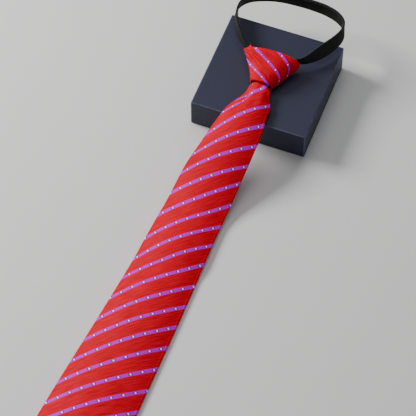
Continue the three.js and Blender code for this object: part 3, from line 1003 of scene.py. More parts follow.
@dataclass
class RepeatedRow:
    """Geometry Nodes tree that sets a small thing at even steps along a guide."""

    kind: Repeat
    seed: int = 7
    tree: bpy.types.NodeTree = field(init=False)

    # Inputs of the tree that carry a size
    INPUTS = ("Spacing", "Length", "Height", "Thread", "Unevenness")

    def __post_init__(self) -> None:
        """Builds the tree."""
        self.tree = bpy.data.node_groups.new(f"row_of_{self.kind.value}s", "GeometryNodeTree")
        face = self.tree.interface
        face.new_socket(name="Geometry", in_out="INPUT", socket_type="NodeSocketGeometry")
        for name in self.INPUTS:
            face.new_socket(name=name, in_out="INPUT", socket_type="NodeSocketFloat")
        face.new_socket(name="Seed", in_out="INPUT", socket_type="NodeSocketInt")
        face.new_socket(name="Material", in_out="INPUT", socket_type="NodeSocketMaterial")
        face.new_socket(name="Geometry", in_out="OUTPUT", socket_type="NodeSocketGeometry")
        graph = Graph(self.tree)
        given = graph.add("NodeGroupInput").outputs
        curve = graph.add("GeometryNodeMeshToCurve", {"Mesh": given["Geometry"]}).outputs[0]
        even = graph.add(
            "GeometryNodeResampleCurve", {"Curve": curve, "Length": given["Spacing"]}, mode="LENGTH",
        ).outputs[0]
        make = self._tooth if self.kind is Repeat.TOOTH else self._stitch
        thing = make(graph, given)
        jitter = graph.add("FunctionNodeRandomValue", {
            "Seed": given["Seed"],
            2: graph.math("SUBTRACT", 1.0, given["Unevenness"]),
            3: graph.math("ADD", 1.0, given["Unevenness"]),
        }, data_type="FLOAT")
        points = graph.add("GeometryNodeInstanceOnPoints", {
            "Points": even,
            "Instance": thing,
            "Rotation": self._turn(graph),
            "Scale": jitter.outputs[1],
        }).outputs[0]
        real = graph.add("GeometryNodeRealizeInstances", {"Geometry": points}).outputs[0]
        smooth = graph.add("GeometryNodeSetShadeSmooth", {"Geometry": real}).outputs[0]
        dressed = graph.add(
            "GeometryNodeSetMaterial", {"Geometry": smooth, "Material": given["Material"]},
        ).outputs[0]
        graph.add("NodeGroupOutput", {"Geometry": dressed})

    @staticmethod
    def _turn(graph: Graph) -> Socket:
        """Rotation with Z ahead along the guide and X up across it."""
        ahead, up = (
            graph.add("GeometryNodeInputNamedAttribute", {"Name": name}, data_type="FLOAT_VECTOR")
            for name in ("ahead", "up")
        )
        first = graph.add(
            "FunctionNodeAlignRotationToVector", {"Vector": ahead.outputs[0]}, axis="Z",
        ).outputs[0]
        return graph.add(
            "FunctionNodeAlignRotationToVector",
            {"Rotation": first, "Vector": up.outputs[0]},
            axis="X",
            pivot_axis="Z",
        ).outputs[0]

    @staticmethod
    def _tooth(graph: Graph, given: bpy.types.bpy_prop_collection) -> Socket:
        """One turn of the zip's coil: a rounded loop of nylon wire."""
        loop = graph.add("GeometryNodeCurvePrimitiveQuadrilateral", {
            "Width": given["Length"], "Height": given["Height"],
        }).outputs[0]
        corner = graph.math("MULTIPLY", given["Height"], 0.42)
        loop = graph.add(
            "GeometryNodeFilletCurve", {"Curve": loop, "Count": 3, "Radius": corner}, mode="POLY",
        ).outputs[0]
        wire = graph.add("GeometryNodeCurvePrimitiveCircle", {
            "Resolution": 6, "Radius": graph.math("MULTIPLY", given["Thread"], 0.5),
        }).outputs[0]
        return graph.add("GeometryNodeCurveToMesh", {"Curve": loop, "Profile Curve": wire}).outputs[0]

    @staticmethod
    def _stitch(graph: Graph, given: bpy.types.bpy_prop_collection) -> Socket:
        """One stitch: a short, fat bead of thread."""
        ball = graph.add("GeometryNodeMeshUVSphere", {"Segments": 8, "Rings": 6, "Radius": 0.5})
        size = graph.add("ShaderNodeCombineXYZ", {
            "X": given["Height"], "Y": given["Thread"], "Z": given["Length"],
        }).outputs[0]
        return graph.add(
            "GeometryNodeTransform", {"Geometry": ball.outputs[0], "Scale": size},
        ).outputs[0]

    def along(
        self,
        name: str,
        guide: Guide,
        material: bpy.types.Material,
        slot: Slot,
        **sizes: float,
    ) -> None:
        """Adds the row along one guide as a plain mesh.

        Args:
            name: name of the object.
            guide: the line that the row follows.
            material: finish of what repeats.
            slot: the record's slot for it; it is not used.
            sizes: the tree's inputs by name in lower case, in millimetres.
        """
        holder = guide.object(name)
        modifier = holder.modifiers.new("row", "NODES")
        modifier.node_group = self.tree
        values = {label: sizes.get(label.lower(), 0.0) * MM for label in self.INPUTS}
        values["Unevenness"] = sizes.get("unevenness", 0.0)
        values["Seed"] = self.seed
        values["Material"] = material
        for item in self.tree.interface.items_tree:
            if item.in_out == "INPUT" and item.name in values:
                modifier[item.identifier] = values[item.name]
        made = bake_modifiers(holder)
        face_outwards(made)
        finish_piece(made, slot)


@dataclass(frozen=True)
class Guide:
    """Line that a row of teeth or stitches follows, with the way ahead and the way up."""

    points: np.ndarray
    up: np.ndarray

    def object(self, name: str) -> bpy.types.Object:
        """Mesh line of the guide with its two directions as attributes."""
        mesh = bpy.data.meshes.new(name)
        edges = [(i, i + 1) for i in range(len(self.points) - 1)]
        mesh.from_pydata(TIE.place(self.points).tolist(), edges, [])
        ahead = unit(np.gradient(self.points, axis=0))
        for label, vectors in (("ahead", ahead), ("up", unit(self.up))):
            layer = mesh.attributes.new(label, "FLOAT_VECTOR", "POINT")
            layer.data.foreach_set("vector", vectors.astype(np.float32).ravel())
        return add_object(name, mesh)


def finish_piece(piece: bpy.types.Object, slot: Slot, *nodes: str) -> None:
    """Lets a piece ride on the tie's body and hides the nodes it stands for."""
    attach(piece, BODY)
    if nodes:
        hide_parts(*nodes)
    log.info("%s: %d faces", piece.name, len(piece.data.polygons))


@dataclass(frozen=True)
class Pleat:
    """Pleat that slants over the left of the blade below the knot and swallows some cloth.

    Places along the tie are measured from the knot's mouth.
    """

    mouth: float

    # The ridge's place on the middle of the blade, and height, offset and width of its two bells
    RIDGE_AT = -28.9
    RIDGE = (0.9, 0.0, 1.4)
    GROOVE = (0.6, -3.2, 1.8)
    START = (-50.0, -36.0)
    FADE_ACROSS = (-1.0, 4.0)
    # Cloth that it swallows, and spans along the tie over which it grows and is given back
    CLOTH = 20.0
    SWALLOWED = (-41.0, 5.0)
    STEP = 4.0
    STEP_SPAN = (-23.0, -18.0)
    GIVEN_BACK = 10.0
    GIVEN_BACK_SPAN = (-15.0, -1.0)
    # Its end across the blade, which closes from a soft to a sharp one
    END = (-10.0, -5.0)
    CLOSING = 2.3
    CLOSING_SPAN = (-21.0, -15.0)

    def over(self, place: Values, span: tuple[float, float]) -> np.ndarray:
        """Smooth step over a span from the knot's mouth."""
        return ease(place, self.mouth + span[0], self.mouth + span[1])

    def height(self, x: np.ndarray, y: np.ndarray) -> np.ndarray:
        """Height of the ridge and of the groove below it."""
        off = (y - x - (self.mouth + self.RIDGE_AT)) * math.sqrt(0.5)
        rise, *ridge = self.RIDGE
        drop, *groove = self.GROOVE
        shape = rise * bell(off, *ridge) - drop * bell(off, *groove)
        return shape * (1 - ease(x, *self.FADE_ACROSS)) * self.over(y, self.START)

    def swallowed(self, arc: np.ndarray, y: np.ndarray) -> np.ndarray:
        """Cloth hidden in the pleat at a place of the blade."""
        hidden = self.CLOTH * self.over(y - arc, self.SWALLOWED)
        hidden = hidden + self.STEP * self.over(y, self.STEP_SPAN)
        hidden = hidden - self.GIVEN_BACK * self.over(y, self.GIVEN_BACK_SPAN)
        closing = self.CLOSING * self.over(y, self.CLOSING_SPAN)
        return hidden * (1 - ease(arc, self.END[0] + closing, self.END[1] - closing))


@dataclass
class Blade:
    """Front blade: one cloth folded round its interlining and seamed down its back."""

    sizes: TieSizes
    rows: int = 250
    layer_steps: int = 26
    fold_steps: int = 10
    roll_steps: int = 5
    fullness: float = 2.0

    STRIPE_SLOPE = 0.93
    # Length of the slanting rows by the point, in half widths, and how rows crowd to the mouth
    POINT_REACH = 2.4
    CROWDING = 1.25
    # Distance within which points join where the hem closes
    WELD = 0.02
    # Where the edges turn in to the knot's mouth, and where the gathers fade in, from the mouth
    TUCK = (-6.0, -1.5)
    GATHERED = (-40.0, -4.0)
    # How far the cloth is drawn in towards the knot, and how far its dots move on, by stripe
    GATHERS = Table(
        ("count", "drawn_in", "shift"),
        (
            (4.5, 0.008, -0.10),
            (7.5, 0.007, 1.05),
            (10.5, 0.010, 0.80),
            (12.5, 0.028, 0.85),
            (14.5, 0.043, 1.00),
            (15.5, 0.095, 1.50),
            (16.5, 0.148, 3.25),
            (17.5, 0.150, 5.10),
            (18.5, 0.140, 7.80),
            (19.5, 0.140, 9.00),
            (20.5, 0.160, 9.60),
            (21.5, -0.010, 16.40),
        ),
    )

    # Edges in half widths and crown in shares of its height, from the shoulder to the mouth
    OUTLINE = Table(
        ("along", "left", "right", "crown"),
        (
            (0.00, -1.00, 1.00, 0.96),
            (0.18, -0.91, 0.93, 1.00),
            (0.38, -0.79, 0.85, 1.00),
            (0.55, -0.705, 0.765, 0.96),
            (0.66, -0.675, 0.71, 0.92),
            (0.76, -0.60, 0.73, 0.88),
            (0.82, -0.455, 0.755, 0.85),
            (0.88, -0.32, 0.755, 0.82),
            (0.92, -0.235, 0.69, 0.80),
            (0.95, -0.09, 0.66, 0.78),
            (0.97, -0.02, 0.56, 0.71),
            (0.985, 0.01, 0.51, 0.62),
            (1.00, 0.01, 0.49, 0.58),
        ),
    )
    # Where the stripes cross the crest of the blade and how steeply they rise from left to right
    STRIPES = Table(
        ("along", "count", "slope"),
        (
            (-120.0, -4.80, 0.84),
            (0.0, 0.84, 0.84),
            (101.3, 5.50, 0.88),
            (145.6, 7.52, 0.94),
            (211.5, 10.50, 0.97),
            (234.2, 11.50, 0.98),
            (276.4, 13.50, 1.00),
            (297.8, 14.50, 1.03),
            (320.8, 15.51, 0.93),
            (339.8, 16.48, 0.80),
            (359.7, 17.50, 0.82),
            (378.7, 18.50, 0.96),
            (402.0, 19.50, 1.26),
            (430.4, 20.50, 1.18),
            (448.0, 21.40, 1.10),
            (490.0, 23.40, 1.10),
            (620.0, 29.50, 1.10),
        ),
    )

    def section(
        self, left: float, right: float, crown: float, closing: float,
    ) -> dict[str, np.ndarray]:
        """Middle line of the folded section, from the seam round the right fold to the left.

        Args:
            left: left edge.
            right: right edge.
            crown: height of the middle of the front.
            closing: 0 at the point, where the seam closes and lies flat, and 1 further up.

        Returns:
            Arrays x, z, arc, share and front, where arc is measured from the crest and share
            is the place across the front, from 0 at the crest to 1 at the fold.
        """
        sizes = self.sizes
        middle = (left + right) / 2
        turn = (sizes.blade_edge - sizes.blade_cloth) / 2
        half = (right - left) / 2 - sizes.blade_cloth / 2 - turn
        steps = np.arange(self.layer_steps + 1) / self.layer_steps
        back_x = mix(sizes.seam_gap / 2 * closing, half, steps)
        back_z = sizes.blade_cloth / 2 + sizes.seam_rise * closing * (1 - (back_x / half) ** 2)
        angles = np.linspace(-math.pi / 2, math.pi / 2, self.fold_steps + 1)[1:-1]
        fold_x = half + turn * np.cos(angles)
        fold_z = sizes.blade_cloth / 2 + turn * (1 + np.sin(angles))
        share = 1 - steps
        front_x = share * half
        front_z = sizes.blade_edge + (crown - sizes.blade_edge) * (1 - share**self.fullness)
        front_z = front_z - sizes.blade_cloth / 2
        x = np.concatenate([back_x, fold_x, front_x])
        z = np.concatenate([back_z, fold_z, front_z])
        layer = np.concatenate([np.zeros(len(back_x) + len(fold_x)), np.ones(len(front_x))])
        share = np.concatenate([back_x / half, np.ones(len(fold_x)), share])
        arc = run_lengths(np.stack([x, z], axis=1))
        arc = arc[-1] - arc
        both = slice(-2, None, -1)
        return {
            "x": middle + np.concatenate([x, -x[both]]),
            "z": np.concatenate([z, z[both]]),
            "arc": np.concatenate([arc, -arc[both]]),
            "share": np.concatenate([share, share[both]]),
            "front": np.concatenate([layer, layer[both]]),
        }

    def waves(self, x: np.ndarray, y: np.ndarray, share: np.ndarray) -> np.ndarray:
        """Soft unevenness of the front, and the gathers that run out of the knot's mouth."""
        turn = 2 * math.pi
        mouth = self.sizes.mouth
        inward = 1 - share**2
        slow = 0.30 * np.sin(turn * (y / 92 + x / 170) + 1.3)
        slow = slow + 0.16 * np.sin(turn * (y / 53 - x / 88))
        slow = slow * ease(y, self.sizes.shoulder * 0.5, self.sizes.shoulder * 1.75)
        near = ease(y, mouth + self.GATHERED[0], mouth + self.GATHERED[1])
        gathers = 0.34 * np.sin(turn * (x - 4) / 9.5 + 0.02 * (y - mouth))
        return inward * (slow * (1 - near) + gathers * near + Pleat(mouth).height(x, y))

    def rows_of_points(self) -> tuple[np.ndarray, np.ndarray]:
        """Middle points of the cloth and its cloth coordinates.

        Returns:
            Points by row and column, and cloth coordinates likewise, both in millimetres.
        """
        sizes = self.sizes
        point_reach = sizes.shoulder * self.POINT_REACH
        neck_end = sizes.mouth + sizes.neck_depth
        throat_left, throat_right = throat_side(Side.LEFT), throat_side(Side.RIGHT)
        points = []
        cloth = []
        for j in range(self.rows + 1):
            start = neck_end * (1 - (1 - j / self.rows) ** self.CROWDING)
            slant = max(0.0, 1 - start / point_reach)
            edge_y = start + sizes.shoulder * slant
            along = (edge_y - sizes.shoulder) / (sizes.mouth - sizes.shoulder)
            tuck = float(ease(edge_y, sizes.mouth + self.TUCK[0], sizes.mouth + self.TUCK[1]))
            left = mix(float(self.OUTLINE.at("left", along)) * sizes.shoulder, throat_left, tuck)
            right = mix(float(self.OUTLINE.at("right", along)) * sizes.shoulder, throat_right, tuck)
            arched = float(self.OUTLINE.at("crown", along)) * sizes.blade_crown
            arched = mix(arched, sizes.neck_height, float(sizes.climb(edge_y)))
            crown = mix(sizes.blade_edge, arched, float(ease(start, 0, sizes.shoulder / 2)))
            closing = float(ease(start, 0, sizes.shoulder / 3))
            line = self.section(left, right, crown, closing)
            if j == 0:
                points, cloth = self.hem(line)
            x = line["x"]
            y = start + np.abs(x) * slant
            z = sizes.blade_base(y) + line["z"] + line["front"] * self.waves(x, y, line["share"])
            points.append(np.stack([x, y, z], axis=1))
            cloth.append(self.cloth_coordinates(line["arc"], y))
        return np.array(points), np.array(cloth)

    def hem(self, line: dict[str, np.ndarray]) -> tuple[list[np.ndarray], list[np.ndarray]]:
        """Rows that roll the cloth over the two edges of the point and close it.

        Args:
            line: the section along the edge of the point.

        Returns:
            Rows of points and of cloth coordinates, from the closed line inwards.
        """
        sizes = self.sizes
        turn = (sizes.blade_edge - sizes.blade_cloth) / 2
        height = sizes.blade_edge / 2
        half = np.abs(line["x"][line["front"] > 0]).max()
        x = np.clip(line["x"], -half, half)
        rise = np.clip((line["z"] - height) / turn, -1, 1)
        folded = np.abs(line["x"]) > half + 1e-6
        elevation = np.where(folded, np.arcsin(rise), np.sign(rise) * math.pi / 2)
        lean = np.tanh(x / 2.0) * math.pi / 4
        round_fold = math.pi / 4 + (math.pi / 2 - np.abs(elevation)) / 2
        sideways = np.where(folded, np.sign(x) * round_fold, lean)
        points = []
        cloth = []
        for k in range(self.roll_steps):
            share = k / self.roll_steps
            lift = elevation * share
            out = turn * np.cos(lift)
            row_x = x + out * np.sin(sideways)
            row_y = np.abs(x) - out * np.cos(sideways)
            points.append(np.stack([row_x, row_y, height + turn * np.sin(lift)], axis=1))
            cloth.append(self.cloth_coordinates(line["arc"], row_y))
        return points, cloth

    def cloth_coordinates(self, arc: np.ndarray, y: np.ndarray) -> np.ndarray:
        """Place on the flat cloth: along the stripes, then across them, in millimetres."""
        pitch = SilkFinish.pitch
        slope = self.STRIPES.at("slope", y - self.STRIPE_SLOPE * arc)
        swallowed = Pleat(self.sizes.mouth).swallowed(arc, y)
        count = self.STRIPES.at("count", y - slope * arc + swallowed)
        slant = math.atan(self.STRIPE_SLOPE)
        along = arc * math.cos(slant) + y * math.sin(slant)
        drawn_in = self.GATHERS.at("drawn_in", count) * arc / math.cos(slant)
        along = along + drawn_in + self.GATHERS.at("shift", count)
        return np.stack([along, count * pitch], axis=1)

    def build(self, silk: bpy.types.Material) -> bpy.types.Object:
        sizes = self.sizes
        points, cloth = self.rows_of_points()
        rows, columns = points.shape[:2]
        made = make_object(
            "front_blade_cloth", points.reshape(-1, 3), grid_faces(rows, columns, False, False),
            grid_corners(cloth), silk,
        )
        weld = made.modifiers.new("weld", "WELD")
        weld.merge_threshold = self.WELD * MM
        wall = made.modifiers.new("wall", "SOLIDIFY")
        wall.thickness = sizes.blade_cloth * MM
        wall.offset = 0.0
        wall.use_quality_normals = True
        made = bake_modifiers(made)
        face_outwards(made)
        finish_piece(made, Slot.CLOTH, "front_blade")
        girth = np.linalg.norm(np.diff(points[..., [0, 2]], axis=1), axis=2).sum(axis=1)
        area = girth[1:] @ np.linalg.norm(np.diff(points[:, columns // 2], axis=0), axis=1)
        area -= sizes.shoulder * girth[self.roll_steps] / 2
        return made

    def stitch(self, row: RepeatedRow, thread: bpy.types.Material) -> None:
        """Slip stitches across the seam down the blade's back."""
        sizes = self.sizes
        y = np.linspace(sizes.shoulder * 1.5, sizes.mouth - 20, 160)
        middle = np.zeros_like(y)
        z = sizes.blade_base(y) + sizes.seam_rise + 0.15
        guide = Guide(np.stack([middle, y, z], axis=1), np.tile([0.0, 0.0, 1.0], (len(y), 1)))
        row.along(
            "blade_seam_stitches", guide, thread, Slot.CLOTH,
            spacing=9.0, length=2.4, height=0.35, thread=0.9, unevenness=0.12,
        )


@dataclass(frozen=True)
class KnotForm:
    """Shape of the knot's sleeve of cloth, which its wrap and its inner fold both follow."""

    sizes: TieSizes

    # How square the front and the back of its section are, and how high it is widest
    FRONT_POWER = 2.5
    BACK_POWER = 4.0
    WIDEST = 0.42
    # How far its left flank draws in at the waist and below, and its right corner reaches out
    WAIST = 1.6
    UNDERCUT = 4.0
    CORNER = 1.8
    # Slant and lift of the rim and of the mouth, in shares of the knot's width
    RIM_SLANT = 0.030
    RIM_LIFT = 0.002
    RIM_BACK = 0.11
    MOUTH_SLANT = 0.012
    MOUTH_DROP = 0.035

    def point(self, angle: np.ndarray, along: np.ndarray, inset: float) -> np.ndarray:
        """Point on the knot, or on a skin inset from it.

        Args:
            angle: way round the knot, 0 at its right side and a quarter turn at its front.
            along: share of the way from its mouth to its rim.
            inset: how far inside the outer face.

        Returns:
            Points in millimetres.
        """
        sizes = self.sizes
        across = np.cos(angle)
        up = np.sin(angle)
        bulge = np.where(up > 0, 2 / self.FRONT_POWER, 2 / self.BACK_POWER)
        left = sizes.knot_x + KNOT_SECTIONS.at("left", along) * sizes.knot_width + inset
        right = sizes.knot_x + KNOT_SECTIONS.at("right", along) * sizes.knot_width - inset
        height = mix(sizes.mouth_height, sizes.knot_thickness, KNOT_HEIGHTS.at("height", along))
        x = (left + right) / 2 + (right - left) / 2 * np.sign(across) * np.abs(across) ** bulge
        tight = self.WAIST * (1 - ease(along, 0.86, 1)) + self.UNDERCUT * ease(-up, -0.15, 0.5)
        x = x + tight * ease(-across, 0.2, 0.9) * ease(along, 0, 0.45)
        pointed = ease(across, 0.55, 1.0) * ease(up, -0.5, 0.2)
        x = x + self.CORNER * pointed * ease(along, 0.6, 1.0)
        widest = height * self.WIDEST
        reach = np.where(up > 0, height - widest, widest) - inset
        z = sizes.box_top + widest + reach * np.sign(up) * np.abs(up) ** bulge
        front = np.maximum(up, 0)
        back = self.RIM_BACK * (1 - ease(up, -0.8, 0.05))
        rim = sizes.rim + sizes.knot_width * (self.RIM_SLANT * across + self.RIM_LIFT * front - back)
        mouth = sizes.mouth + sizes.knot_width * (self.MOUTH_SLANT * across - self.MOUTH_DROP * front)
        return np.stack([x, mix(mouth, rim, along), z], axis=-1)


@dataclass
class Knot:
    """Knot: a tapered sleeve of wrapped cloth with creases that fan from its left corner."""

    sizes: TieSizes
    around: int = 216
    rows: int = 72

    # Ends of each crease in shares across the knot's front and along it, with depth and width
    CREASES = Table(
        ("across", "along", "to_across", "to_along", "depth", "width"),
        (
            (0.06, 0.92, 0.42, 0.38, 1.30, 0.012),
            (0.14, 0.96, 0.52, 0.46, 1.15, 0.011),
            (0.04, 0.74, 0.30, 0.22, 1.00, 0.012),
            (0.10, 0.97, 0.36, 0.64, 1.10, 0.009),
            (0.08, 0.84, 0.34, 0.46, 1.20, 0.009),
            (0.20, 0.98, 0.60, 0.60, 0.75, 0.010),
            (0.05, 0.58, 0.22, 0.12, 0.50, 0.010),
            (0.46, 0.34, 0.66, 0.10, 0.35, 0.012),
        ),
    )
    # Where the stripes cross the crest of the knot
    STRIPES = Table(
        ("along", "count"),
        (
            (420.0, -0.80),
            (439.0, 0.30),
            (443.2, 0.70),
            (454.0, 1.33),
            (458.7, 1.67),
            (469.8, 2.33),
            (474.5, 2.67),
            (492.0, 3.28),
            (512.0, 4.50),
        ),
    )
    STRIPE_SLOPE = -0.55
    # How the stripes bend off their slope at the left, and at the right as far as a place along
    BEND_LEFT = 0.01
    BEND_LEFT_FROM = 3.0
    BEND_RIGHT = 0.018
    BEND_RIGHT_TO = (440.0, 450.0)
    # How much closer the dots lie, and how they move on from stripe to stripe
    PINCHED = 1.22
    DOT_SHIFT = -3.0
    DOT_START = 1.4
    RIM_DIP = 1.8

    def relief(self, across: np.ndarray, along: np.ndarray) -> np.ndarray:
        """Depth of the creases and the soft swell between them."""
        depth = np.zeros_like(across)
        for row in self.CREASES.rows:
            crease = dict(zip(self.CREASES.names, row))
            start = np.array([crease["across"], crease["along"]])
            run = np.array([crease["to_across"], crease["to_along"]]) - start
            offset = np.stack([across, along], axis=-1) - start
            share = np.clip(offset @ run / (run @ run), 0, 1)
            miss = np.linalg.norm(offset - share[..., None] * run, axis=-1)
            ends = np.sin(math.pi * np.clip(share, 0.05, 0.95))
            groove = bell(miss, 0.0, 2 * crease["width"])
            swell = bell(miss, 0.045, 0.03)
            depth += crease["depth"] * ends * (0.45 * swell - groove)
        turn = 2 * math.pi
        soft = 0.12 * np.sin(turn * (across * 2.1 + along * 1.3)) * np.sin(turn * along * 0.9 + 0.5)
        return depth + soft

    @staticmethod
    def on_front(angle: np.ndarray) -> np.ndarray:
        """Share that is 1 on the knot's front and 0 on its back."""
        return ease(np.sin(angle), 0.0, 0.35)

    def skin(self) -> dict[str, np.ndarray]:
        """Middle of the knot's cloth.

        Returns:
            Arrays angle, along, middle, steps (between neighbours) and arc, which is measured
            from the crest to the right; each row ends where it began.
        """
        sizes = self.sizes
        form = KnotForm(sizes)
        roll = sizes.knot_cloth / 2 / sizes.knot_length
        angle, along = np.meshgrid(
            np.linspace(-math.pi / 2, 1.5 * math.pi, self.around + 1),
            np.linspace(roll, 1 - roll, self.rows + 1),
        )
        middle = form.point(angle, along, sizes.knot_cloth / 2)
        dip = self.RIM_DIP * bell(np.cos(angle), -0.7, 0.6) * self.on_front(angle)
        middle[..., 1] -= dip * along**3
        steps = np.linalg.norm(np.diff(middle, axis=1), axis=2)
        arc = np.concatenate([np.zeros((self.rows + 1, 1)), np.cumsum(steps, axis=1)], axis=1)
        crest = self.around // 2
        arc = arc[:, crest:crest + 1] - arc
        return {"angle": angle, "along": along, "middle": middle, "steps": steps, "arc": arc}

    def build(self, silk: bpy.types.Material) -> bpy.types.Object:
        sizes = self.sizes
        skin = self.skin()
        middle = skin["middle"]
        relief = self.relief(1 - skin["angle"] / math.pi, skin["along"])
        relief = (relief * self.on_front(skin["angle"]))[:, :-1]
        cloth = self.cloth_coordinates(skin["arc"], middle[..., 1])
        made = RolledWall(middle[:, :-1], cloth, sizes.knot_cloth, True, relief).build(
            "knot_wrap_cloth", silk,
        )
        finish_piece(made, Slot.CLOTH, "knot_wrap")
        return made

    def cloth_coordinates(self, arc: np.ndarray, y: np.ndarray) -> np.ndarray:
        """Place on the flat cloth: along the stripes, then across them, in millimetres."""
        bent = self.BEND_LEFT * np.maximum(0, -arc - self.BEND_LEFT_FROM) ** 2
        right = self.BEND_RIGHT * np.maximum(0, arc) ** 2
        bent = bent + right * (1 - ease(y, *self.BEND_RIGHT_TO))
        count = self.STRIPES.at("count", y - self.STRIPE_SLOPE * arc - bent)
        slant = math.atan(self.STRIPE_SLOPE)
        along = (arc * math.cos(slant) + y * math.sin(slant)) * self.PINCHED
        along = along + self.DOT_SHIFT * count + self.DOT_START
        return np.stack([along, count * SilkFinish.pitch], axis=-1)


@dataclass
class KnotEar:
    """Inner fold of the knot, whose lip stands out of the rim in an ear."""

    sizes: TieSizes
    across: int = 60
    rows: int = 18

    # Stretch of the knot that it lines, in half turns and from its mouth, and its lip and ear
    SWEEP = (0.50, 0.93)
    ROOT = 0.76
    LIP = 0.12
    EAR_AT = 0.88
    EAR_WIDTH = 0.13

    def build(self, silk: bpy.types.Material) -> bpy.types.Object:
        sizes = self.sizes
        form = KnotForm(sizes)
        inset = sizes.knot_cloth * 1.3 + 2 * sizes.fit + sizes.fold_cloth / 2
        sweep, share = np.meshgrid(
            np.linspace(0, 1, self.across + 1), np.linspace(0, 1, self.rows + 1),
        )
        lip = mix(self.LIP, 1, bell(sweep, self.EAR_AT, self.EAR_WIDTH))
        along = mix(self.ROOT, 1 + sizes.fold_ear * lip / sizes.knot_length, share)
        inside = np.minimum(along, 1)
        middle = form.point(math.pi * mix(*self.SWEEP, sweep), inside, inset)
        middle[..., 1] += (along - inside) * sizes.knot_length
        cloth = np.stack([middle[..., 0] * 1.2, middle[..., 1] * 0.35 + 3.0], axis=-1)
        made = RolledWall(middle, cloth, sizes.fold_cloth, False).build("knot_fold_cloth", silk)
        finish_piece(made, Slot.CLOTH, "knot_fold")
        return made


@dataclass
class Course:
    """Even steps along a smooth curve through chosen points, with columns eased along it."""

    points: np.ndarray
    columns: dict[str, np.ndarray]
    steps: int

    def __post_init__(self) -> None:
        """Works out the even steps."""
        fine = np.linspace(0, 1, 4001)
        places = self._curve(fine)
        lengths = run_lengths(places)
        self.length = float(lengths[-1])
        self.share = np.linspace(0, 1, self.steps + 1)
        self.along = np.interp(self.share * self.length, lengths, fine)
        self.middle = self._curve(self.along)
        self.ahead = unit(np.gradient(self.middle, axis=0))

    def _curve(self, along: np.ndarray) -> np.ndarray:
        """Centripetal curve through the points."""
        places = self.points
        last = len(places) - 1
        spot = np.clip(along, 0, 1) * last
        row = np.minimum(spot.astype(int), last - 1)
        t = (spot - row)[:, None]
        padded = np.concatenate([[2 * places[0] - places[1]], places, [2 * places[-1] - places[-2]]])
        p0, p1, p2, p3 = (padded[row + i] for i in range(4))
        d0, d1, d2 = (
            np.maximum(np.linalg.norm(b - a, axis=1, keepdims=True) ** 0.5, 1e-4)
            for a, b in ((p0, p1), (p1, p2), (p2, p3))
        )
        m1 = ((p1 - p0) / d0 - (p2 - p0) / (d0 + d1) + (p2 - p1) / d1) * d1
        m2 = ((p2 - p1) / d1 - (p3 - p1) / (d1 + d2) + (p3 - p2) / d2) * d1
        c2 = -3 * p1 + 3 * p2 - 2 * m1 - m2
        c3 = 2 * p1 - 2 * p2 + m1 + m2
        return p1 + m1 * t + c2 * t**2 + c3 * t**3

    def column(self, name: str) -> np.ndarray:
        """Column eased to every step."""
        values = self.columns[name]
        rows = tuple((i / (len(values) - 1), value) for i, value in enumerate(values))
        return Table(("along", name), rows).at(name, self.along)


def slider_place(sizes: TieSizes) -> dict[str, float]:
    """Place of the slider in the lower half of the knot, and of the zip on both sides of it."""
    bottom = sizes.mouth + sizes.neck_depth + 2 * sizes.fit
    base = sizes.box_top + sizes.throat_lift + sizes.fit
    return {
        "x": (throat_side(Side.LEFT) + throat_side(Side.RIGHT)) / 2,
        "bottom": bottom,
        "top": bottom + sizes.slider_length,
        "middle": base + sizes.slider_thickness / 2,
    }


def tape_outline(half_width: np.ndarray, half: np.ndarray, corner_steps: int = 4) -> np.ndarray:
    """Rounded sections of a flat tape.

    Args:
        half_width: half the width at each step.
        half: half the thickness at each step.
        corner_steps: steps round each of its four corners.

    Returns:
        Steps by points by 2: across the tape, then through it.
    """
    spots = []
    for quarter, (way_across, way_through) in enumerate(((1, 1), (-1, 1), (-1, -1), (1, -1))):
        for k in range(corner_steps + 1):
            angle = math.pi / 2 * (quarter + k / corner_steps)
            across = way_across * (half_width - half * 0.9) + half * 0.9 * math.cos(angle)
            through = way_through * half * 0.1 + half * 0.9 * math.sin(angle)
            spots.append(np.stack([across, through], axis=-1))
    return np.stack(spots, axis=1)


def sweep_tape(
    name: str,
    middle: np.ndarray,
    across: np.ndarray,
    through: np.ndarray,
    outline: np.ndarray,
    material: bpy.types.Material,
) -> bpy.types.Object:
    """Closed tape swept along a course.

    Args:
        name: name of the object.
        middle: middle of the tape at each step.
        across: unit vectors along its width.
        through: unit vectors along its thickness.
        outline: its sections.
        material: its finish.

    Returns:
        The object, a closed mesh with its length and width as cloth coordinates.
    """
    points = (
        middle[:, None]
        + outline[..., :1] * across[:, None]
        + outline[..., 1:] * through[:, None]
    )
    steps, count = points.shape[:2]
    lengths = run_lengths(middle)
    around = np.concatenate([outline, outline[:, :1]], axis=1)[..., 0]
    cloth = np.stack([np.repeat(lengths[:, None], count + 1, axis=1), around], axis=-1)
    faces = grid_faces(steps, count, True, False)
    corners = grid_corners(cloth)
    ends = [list(range(count))[::-1], [(steps - 1) * count + i for i in range(count)]]
    end_cloth = [cloth[0, i] for i in range(count)][::-1] + [cloth[-1, i] for i in range(count)]
    made = make_object(
        name, points.reshape(-1, 3), faces + [tuple(end) for end in ends],
        np.concatenate([corners, np.array(end_cloth)]), material,
    )
    face_outwards(made)
    return made


